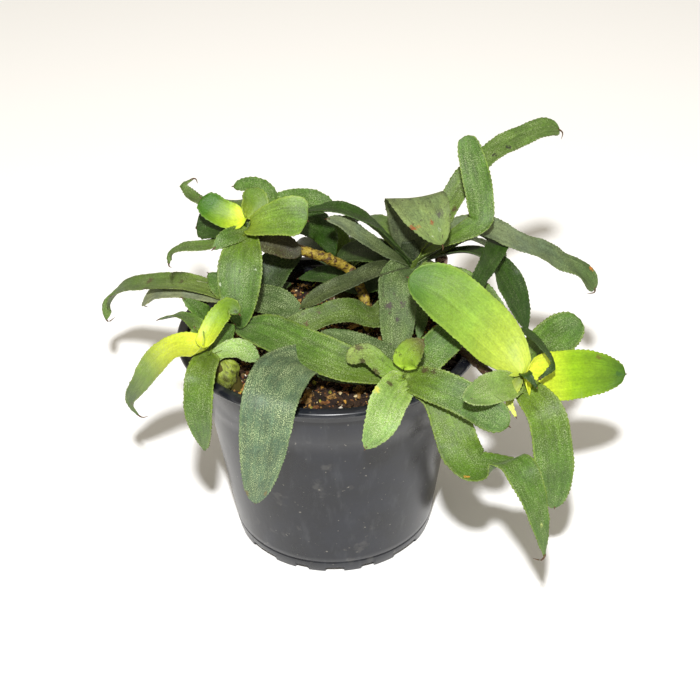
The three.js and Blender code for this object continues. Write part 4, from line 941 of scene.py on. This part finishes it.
def leaf_material(name, roughness, mottle):
    """Leathery bromeliad leaf with a waxy sheen, which is drier where scurf or spots lie. It has faint
    lengthwise veins and stripes, a grainy skin with cloudy, sunny and shaded greens, silvery scurf in
    fine flecks, streaks and hazy patches, purple-brown blotches where it is spotted, and its own ragged
    marks, a few of which are painted highlights. Mottle is the strength of the grains, clouds and stripes."""
    shader = Shader(name)
    uv = shader.add("UVMap", uv_map="leaf_mm")
    paint = shader.add("Attribute", output="Color", attribute_name="paint")
    mark_paint = shader.add("Attribute", output="Color", attribute_name="mark_paint")
    scurf, spots, mark = (shader.add("Attribute", output="Fac", attribute_name=key)
                          for key in ("scurf", "spots", "mark"))
    on_leaf = {key: shader.pattern(uv, *values) for key, values in LEAF_PATTERNS.items()}
    base = paint
    for key, low, high, depth in (("veins", 0.3, 0.7, 0.07), ("grains", 0.3, 0.7, 0.38 * mottle),
                                  ("clouds", 0.25, 0.75, 0.34 * mottle), ("stripes", 0.3, 0.7, 0.2 * mottle)):
        base = shader.shade(base, on_leaf[key], low, high, depth)
    base = shader.cover(base, (1.08, 1.04, 0.85, 1), on_leaf["haze"], 0.35, 0.6, blend="MULTIPLY")
    patches = shader.add("MapRange", (on_leaf["haze"], 0.38, 0.64, 0, scurf),
                         interpolation_type="SMOOTHSTEP")
    dusty = shader.add("Math", (scurf, 0.55, patches), operation="MULTIPLY_ADD")
    streaky = shader.add("MapRange", (on_leaf["streaks"], 0.35, 0.6, 0.28, 0.68),
                         interpolation_type="SMOOTHSTEP")
    dusty = shader.add("Math", (dusty, streaky), operation="MULTIPLY")
    base = shader.cover(base, "#aebd8c", on_leaf["flecks"], 0.49, 0.6, dusty)
    spotted = shader.add("Math", (spots, 0.85), operation="MULTIPLY")
    base = shader.cover(base, "#35261f", on_leaf["blotches"], 0.59, 0.65, spotted)
    near_mark = shader.add("MapRange", (mark, 0.3, 0.5, 0, 0.85), interpolation_type="SMOOTHSTEP")
    ragged = shader.add("Math", (on_leaf["torn_edges"], 2, mark), operation="MULTIPLY_ADD")
    base = shader.cover(base, mark_paint, ragged, 1.52, 1.75, near_mark)
    dull = roughness
    for value, share in ((on_leaf["grains"], 0.14), (patches, 0.16), (spots, 0.2)):
        dull = shader.add("Math", (value, share, dull), operation="MULTIPLY_ADD")
    height = shader.add("Math", (on_leaf["veins"], 0.25, on_leaf["grains"]), operation="MULTIPLY_ADD")
    normal = shader.add("Bump", {"Height": height, "Strength": 0.55, "Distance": 0.3 * MM})
    return shader.finish({"Base Color": base, "Roughness": dull, "Specular IOR Level": 0.32,
                          "Normal": normal})


LEAF_MATERIALS = {
    "green_leaf": leaf_material("green bromeliad leaf", 0.31, 1),
    "grey_green_leaf": leaf_material("scurfy grey-green bromeliad leaf", 0.36, 1),
    "yellow_green_leaf": leaf_material("young yellow-green bromeliad leaf", 0.33, 0.55),
}


def grown_leaves(node, leaves, start, clasping):
    """The pieces of all leaves that grow from one place."""
    rng = random.Random(node)
    parts = []
    for name, one in leaves.items():
        parts += blade(node + "_" + name, one, start, rng, clasping)
    return parts


def build_rosettes():
    """Each rosette's older leaves with the core and the stem that carry them, as one piece."""
    for node, spec in ROSETTES.items():
        parts = grown_leaves(node, spec["leaves"], spec["crown"], clasping=True)
        centre = np.array(spec["crown"]) - (0, 0, CORE_DEPTH)
        core = ball(node + "_core", centre, [size * CORE_SHARE for size in spec["core"]])
        # The core's dark green is partly painted shade for the hollow of the crown
        set_paint(core, "#35481c")
        stem = tube(node + "_stem", [*spec["stem"], centre], lambda share: spec["radius"], 20, 30)
        set_paint(stem, "#5a5428")
        set_skin(stem, 0, 1)
        parts += [core, stem]
        if "bulb" in spec:
            parts.append(swollen_base(node + "_bulb", *spec["bulb"]))
        place_in_frame(join(node + "_visual", parts), node, LEAF_MATERIALS[spec["slot"]])


def build_hearts():
    """The young leaves in the middle of a rosette, which have no sheaths of their own to show."""
    slot = "yellow_green_leaf"
    for node, spec in HEARTS.items():
        parts = grown_leaves(node, spec["leaves"], spec["bud"], clasping=False)
        place_in_frame(join(node + "_visual", parts), node, LEAF_MATERIALS[slot])


def stolon_material():
    """Dry stolon in papery scales: dull and streaked, with torn dark-brown flecks and pale dust."""
    shader = Shader("dry scaly stolon")
    paint = shader.add("Attribute", output="Color", attribute_name="paint")
    place = shader.place_mm()
    grain = shader.pattern(place, (1.5, 1.5, 1.5), 3)
    flecks = shader.pattern(place, (0.52, 0.52, 0.52), 4, 0.65)
    base = shader.shade(paint, grain, 0.3, 0.7, 0.3)
    base = shader.cover(base, "#3c1c0e", flecks, 0.49, 0.55, 0.9)
    base = shader.cover(base, "#b9a878", grain, 0.64, 0.72, 0.3)
    height = shader.add("Math", (grain, flecks), operation="ADD")
    normal = shader.add("Bump", {"Height": height, "Strength": 0.7, "Distance": 0.5 * MM})
    return shader.finish({"Base Color": base, "Roughness": 0.6, "Normal": normal})


def build_stolons():
    """Each stolon widens along every papery scale and steps back at its edge, which is darker."""
    material = stolon_material()
    for node, spec in STOLONS.items():
        length = curve_points(spec["route"], 2)[1]
        count = round(length / SCALE_PITCH)
        rng = random.Random(node)
        flare = [rng.uniform(0.03, 0.15) for _ in range(count + 1)]

        def outline(share):
            phase = share * count % 1
            step = flare[min(int(share * count), count)]
            lumps = 0.07 * noise.noise(Vector((share * length / 2.2, 4, 7)))
            return spec["radius"] * (0.92 + lumps + step * min(phase / SCALE_SLOPE, 1)
                                     - step * max((phase - SCALE_SLOPE) / (1 - SCALE_SLOPE), 0))

        piece = tube(node + "_visual", spec["route"], outline, 28, count * 14 + 2)
        points = read_points(piece) / MM
        points += [[0.3 * noise.noise(Vector(p / 1.7) + Vector((k * 9, 2, 5))) for k in range(3)]
                   for p in points]
        write_points(piece, points * MM)
        shares = np.zeros(len(piece.data.vertices))
        piece.data.attributes["share"].data.foreach_get("value", shares)
        dark_share = np.clip((shares * count % 1 - 0.75) / 0.25, 0, 1)[:, None] * 0.45
        light, dark = (np.array(colour(code)) for code in spec["paint"])
        set_values(piece, "paint", light * (1 - dark_share) + dark * dark_share)
        place_in_frame(piece, node, material)


def wall_radius(height):
    return POT_BASE_RADIUS + (POT_WALL_TOP_RADIUS - POT_BASE_RADIUS) * height / POT_HEIGHT


def spin_profile(name, profile, steps):
    """Spins a section, given as (radius, height) points in mm from axis to axis, round the Z axis."""
    bpy.ops.object.select_all(action="DESELECT")
    bpy.ops.mesh.primitive_circle_add(vertices=len(profile), radius=1, fill_type="NOTHING")
    piece = active(name)
    write_points(piece, [(radius * MM, 0, height * MM) for radius, height in profile])
    last = len(profile) - 1
    bpy.ops.object.mode_set(mode="EDIT")
    bpy.ops.mesh.select_all(action="DESELECT")
    bpy.ops.mesh.select_mode(type="EDGE")
    bpy.ops.object.mode_set(mode="OBJECT")
    for edge in piece.data.edges:
        edge.select = set(edge.vertices) == {0, last}
    bpy.ops.object.mode_set(mode="EDIT")
    bpy.ops.mesh.delete(type="EDGE")
    bpy.ops.mesh.select_all(action="SELECT")
    bpy.ops.mesh.spin(steps=steps, angle=2 * math.pi, center=(0, 0, 0), axis=(0, 0, 1))
    bpy.ops.mesh.select_mode(type="VERT")
    bpy.ops.object.mode_set(mode="OBJECT")
    weld(piece)
    return piece


def arc(centre_radius, centre_height, size, start, end, steps=5):
    """Points on a rounded corner of the section, between two angles in degrees."""
    angles = np.radians(np.linspace(start, end, steps))
    return [(centre_radius + size * math.cos(a), centre_height + size * math.sin(a)) for a in angles]


def pot_profile():
    """The pot's section: disc and ring of the foot, the wall with the line at its base and the step of
    its collar, the rolled lip, and the inside down to the floor."""
    def wall(height, out=0.0):
        return wall_radius(height) + out, height

    def inner(height):
        return wall_radius(height) - POT_WALL, height

    ring = POT_BASE_RADIUS - FOOT_RING_WIDTH
    line = POT_BASE_LINE_HEIGHT
    under = POT_HEIGHT - POT_LIP_THICKNESS
    floor_top = FLOOR_LIFT + POT_WALL
    return [
        (0, 0), (FOOT_DISC_RADIUS, 0), (FOOT_DISC_RADIUS + 1, FLOOR_LIFT),
        (ring - 0.5, FLOOR_LIFT), (ring, 0), (POT_BASE_RADIUS - 0.5, 0), wall(POT_CORNER),
        wall(line - POT_LINE_SLOPE), wall(line, -POT_LINE_STEP), wall(line + POT_LINE_SLOPE),
        *[wall(height) for height in range(8, POT_COLLAR_HEIGHT, 6)],
        wall(POT_COLLAR_HEIGHT), wall(POT_COLLAR_HEIGHT + POT_LINE_SLOPE, POT_LINE_STEP),
        wall(under - 1.2, POT_LINE_STEP), (POT_WALL_TOP_RADIUS + POT_CORNER, under - 0.3),
        (POT_WALL_TOP_RADIUS + 2 * POT_CORNER, under),
        *arc(POT_LIP_RADIUS - POT_CORNER, under + POT_CORNER, POT_CORNER, -90, 0),
        *arc(POT_LIP_RADIUS - POT_LIP_ROUND, POT_HEIGHT - POT_LIP_ROUND, POT_LIP_ROUND, 0, 90),
        *arc(POT_LIP_INNER_RADIUS + POT_CORNER, POT_HEIGHT - POT_CORNER, POT_CORNER, 90, 180),
        (POT_LIP_INNER_RADIUS - 1.2, POT_HEIGHT - 4),
        inner(POT_COLLAR_HEIGHT + 3), inner(floor_top + 1),
        (wall_radius(floor_top) - POT_WALL - 1, floor_top),
        (FOOT_DISC_RADIUS + 0.6, floor_top), (FOOT_DISC_RADIUS - 0.6, POT_WALL), (0, POT_WALL),
    ]


def pot_material():
    """Slate-black moulded polypropylene with a soft gloss: hazy scuffs, pale dust specks and smears, and
    upright streaks where water ran down."""
    shader = Shader("dusty black polypropylene")
    place = shader.place_mm()
    haze = shader.pattern(place, (0.055, 0.055, 0.055), 4, 0.6)
    streaks = shader.pattern(place, (0.26, 0.26, 0.065), 3, 0.6)
    smears = shader.pattern(place, (0.14, 0.14, 0.14), 3)
    grit = shader.pattern(place, (0.7, 0.7, 0.7), 2)
    base = shader.cover("#13151b", "#1c1f28", haze, 0.35, 0.75)
    base = shader.cover(base, "#6f7378", streaks, 0.5, 0.8, 0.12)
    base = shader.cover(base, "#7c7a74", smears, 0.62, 0.72, 0.14)
    base = shader.cover(base, "#a09c90", grit, 0.7, 0.76, 0.4)
    dull = shader.add("Math", (haze, 0.14, 0.22), operation="MULTIPLY_ADD")
    normal = shader.add("Bump", {"Height": shader.pattern(place, (0.42, 0.42, 0.42), 3), "Strength": 0.1,
                                 "Distance": 0.2 * MM})
    return shader.finish({"Base Color": base, "Roughness": dull, "Normal": normal})


def notch_cutter(angle, width):
    """A rounded block that cuts one notch into the foot, at an angle and as wide as one, in degrees."""
    span = 2 * POT_BASE_RADIUS * math.sin(math.radians(width) / 2)
    bpy.ops.mesh.primitive_cube_add(size=1)
    cutter = active("notch_cutter")
    cutter.data.transform(Matrix.Rotation(math.radians(angle), 4, "Z")
                          @ Matrix.Translation((POT_BASE_RADIUS * MM, 0, 0))
                          @ Matrix.Diagonal((NOTCH_REACH * MM, span * MM, 2 * NOTCH_DEPTH * MM, 1)))
    modify(cutter, "BEVEL", width=NOTCH_ROUND * MM, segments=4)
    return cutter


def build_pot():
    """The pot, with the notches of its foot ring and its drain holes cut out."""
    pot = spin_profile("nursery_pot_visual", pot_profile(), POT_STEPS)
    cutters = [notch_cutter(quarter * 90 + offset - 90, width)
               for quarter in range(4) for offset, width in NOTCHES]
    for index in range(DRAIN_HOLE_COUNT):
        angle = (index + 0.5) * 2 * math.pi / DRAIN_HOLE_COUNT
        bpy.ops.mesh.primitive_cylinder_add(
            vertices=32, radius=DRAIN_HOLE_RADIUS * MM, depth=3 * FLOOR_LIFT * MM,
            location=(DRAIN_HOLE_CIRCLE * math.cos(angle) * MM,
                      DRAIN_HOLE_CIRCLE * math.sin(angle) * MM, FLOOR_LIFT * MM))
        cutters.append(active("hole_cutter"))
    cutter = join("cutters", cutters)
    modify(pot, "BOOLEAN", operation="DIFFERENCE", object=cutter, solver="EXACT", use_self=True)
    bpy.data.objects.remove(cutter)
    modify(pot, "BEVEL", width=POT_EDGE * MM, segments=2, limit_method="ANGLE",
           angle_limit=math.radians(40))
    select_only(pot)
    bpy.ops.object.shade_smooth_by_angle(angle=math.radians(35))
    place_in_frame(pot, "nursery_pot", pot_material())


def mix_height(x, y):
    """Height of the heaped, lumpy top of the mix."""
    lumps = math.sin(x * 0.71 + 1.3) * math.cos(y * 0.63) + 0.6 * math.sin(x * 1.37 - y * 1.19)
    return MIX_TOP + MIX_HEAP * (1 - (math.hypot(x, y) / POT_WALL_TOP_RADIUS) ** 2) + MIX_LUMP * lumps


def mix_material():
    """Damp bark and coir compost, dull and deep: each loose piece has its own colour, and fine crumbs
    make it darker and lighter."""
    shader = Shader("bark and coir mix")
    paint = shader.add("Attribute", output="Color", attribute_name="paint")
    crumbs = shader.pattern(shader.place_mm(), (0.7, 0.7, 0.7), 5, 0.65)
    tint = shader.cover((0.45, 0.42, 0.4, 1), (1.2, 1.15, 1.1, 1), crumbs, 0.3, 0.7)
    base = shader.add("Mix", {MIX_SHARE: 1.0, MIX_UNDER: paint, MIX_OVER: tint}, MIX_RESULT,
                      data_type="RGBA", blend_type="MULTIPLY")
    normal = shader.add("Bump", {"Height": crumbs, "Strength": 0.9, "Distance": 0.8 * MM})
    return shader.finish({"Base Color": base, "Roughness": 0.85, "Normal": normal})


def mix_body():
    """The filling of the pot, with a rough top."""
    wall_gap = POT_WALL + MIX_CLEARANCE
    floor_top = FLOOR_LIFT + POT_WALL + MIX_BOTTOM_GAP
    rim = wall_radius(MIX_TOP - 3) - wall_gap
    top = [(rim * i / MIX_RINGS, MIX_TOP) for i in range(MIX_RINGS + 1)]
    profile = top + [(wall_radius(floor_top + 1) - wall_gap, floor_top + 1.2),
                     (wall_radius(floor_top) - wall_gap - 1.2, floor_top),
                     (FOOT_DISC_RADIUS + 0.4, floor_top),
                     (FOOT_DISC_RADIUS - 1, POT_WALL + MIX_BOTTOM_GAP), (0, POT_WALL + MIX_BOTTOM_GAP)]
    body = spin_profile("mix_body", profile, MIX_STEPS)
    points = read_points(body) / MM
    for index, (x, y, z) in enumerate(points):
        if z > MIX_TOP - 1:
            rough = noise.noise(Vector((x / 2.4, y / 2.4, 3))) + 0.6 * noise.noise(Vector((x, y, 9)))
            points[index, 2] = mix_height(x, y) + MIX_ROUGHNESS * rough
    write_points(body, points * MM)
    set_paint(body, "#2b1b11")
    return body


def loose_shapes():
    """Rough shapes about one unit across that the loose pieces are copies of: bark chips, then grains."""
    shapes = []
    for index in range(2 * GRAIN_SHAPES):
        bpy.ops.object.select_all(action="DESELECT")
        if index < GRAIN_SHAPES:
            bpy.ops.mesh.primitive_cube_add(size=1)
            shape = active("chip_shape")
            modify(shape, "SUBSURF", levels=2, subdivision_type="SIMPLE")
        else:
            bpy.ops.mesh.primitive_ico_sphere_add(subdivisions=1, radius=0.5)
            shape = active("grain_shape")
        points = read_points(shape)
        points += [[0.26 * noise.noise(Vector(p * 2.3) + Vector((index * 5, k * 9, 1))) for k in range(3)]
                   for p in points]
        write_points(shape, points)
        shapes.append(shape)
    return shapes


def loose_piece(shapes, rng):
    """One bark chip or one smaller grain, turned at random, at a random place on the mix."""
    angle, radius = rng.uniform(0, 2 * math.pi), GRAIN_FIELD_RADIUS * math.sqrt(rng.random())
    x, y = radius * math.cos(angle), radius * math.sin(angle)
    is_chip = rng.random() < CHIP_SHARE
    codes, weights = zip(*(BARK_COLOURS if is_chip else GRAIN_COLOURS))
    code = rng.choices(codes, weights)[0]
    kind = rng.randrange(0, GRAIN_SHAPES) if is_chip else rng.randrange(GRAIN_SHAPES, 2 * GRAIN_SHAPES)
    if is_chip:
        size = Vector([rng.uniform(*limits) for limits in CHIP_SIZES])
    else:
        grain = GRAIN_LEAST + GRAIN_RANGE * rng.random() ** 2.2
        size = Vector((grain, grain * rng.uniform(0.6, 1), grain * rng.uniform(0.5, 1)))
    piece = shapes[kind].copy()
    piece.data = shapes[kind].data.copy()
    bpy.context.collection.objects.link(piece)
    turn = Euler((rng.gauss(0, 0.35), rng.gauss(0, 0.35), rng.uniform(0, math.pi)))
    lift = mix_height(x, y) + size.z * 0.3 + rng.uniform(0, 0.5)
    piece.data.transform(Matrix.Translation((x * MM, y * MM, lift * MM)) @ turn.to_matrix().to_4x4()
                         @ Matrix.Diagonal((*(size * MM), 1)))
    set_paint(piece, code)
    return piece


def build_mix():
    """The mix, covered with loose crumbs of bark, coir and perlite."""
    body = mix_body()
    shapes = loose_shapes()
    rng = random.Random(11)
    parts = [body] + [loose_piece(shapes, rng) for _ in range(GRAIN_COUNT)]
    for shape in shapes:
        bpy.data.objects.remove(shape)
    mix = join("potting_mix_visual", parts)
    bpy.ops.object.shade_smooth_by_angle(angle=math.radians(50))
    place_in_frame(mix, "potting_mix", mix_material())


def build_floor():
    """Matt white studio floor."""
    bpy.ops.mesh.primitive_plane_add(size=FLOOR_SIZE * MM)
    floor = active("studio_floor")
    floor.data.materials.append(Shader("white studio floor").finish(
        {"Base Color": (0.96, 0.955, 0.95, 1), "Roughness": 0.9}))


def build_camera():
    bpy.ops.object.camera_add()
    camera = bpy.context.object
    camera.name = "photo_camera"
    camera.data.lens = CAMERA_LENS
    camera.data.sensor_width = CAMERA_SENSOR
    camera.data.clip_start = CAMERA_NEAREST * MM
    camera.matrix_world = (Matrix.Translation(Vector(CAMERA_PLACE) * MM)
                           @ Matrix.Rotation(math.radians(90 - CAMERA_TILT), 4, "X")
                           @ Matrix.Rotation(math.radians(CAMERA_ROLL), 4, "Z"))
    bpy.context.scene.camera = camera


def build_light():
    """A small soft lamp, as strong far away as near, and the even light of the room."""
    bpy.ops.object.light_add(type="AREA")
    lamp = bpy.context.object
    lamp.name = "soft_lamp"
    lamp.data.shape = "DISK"
    lamp.data.size = LAMP_SIZE * MM
    lamp.data.energy = LAMP_POWER
    aim = (Vector(LAMP_TARGET) - Vector(LAMP_PLACE)).to_track_quat("-Z", "Y").to_matrix().to_4x4()
    lamp.matrix_world = Matrix.Translation(Vector(LAMP_PLACE) * MM) @ aim
    lamp.data.use_nodes = True
    tree = lamp.data.node_tree
    falloff = tree.nodes.new("ShaderNodeLightFalloff")
    falloff.inputs["Strength"].default_value = 1.0
    tree.links.new(falloff.outputs["Constant"], tree.nodes["Emission"].inputs["Strength"])
    world = bpy.data.worlds.new("room")
    bpy.context.scene.world = world
    world.use_nodes = True
    background = world.node_tree.nodes["Background"]
    background.inputs["Color"].default_value = colour(ROOM_COLOUR)
    background.inputs["Strength"].default_value = ROOM_STRENGTH


build_rosettes()
build_hearts()
build_stolons()
build_pot()
build_mix()
build_floor()
build_camera()
build_light()
bpy.context.scene.view_settings.view_transform = "Standard"
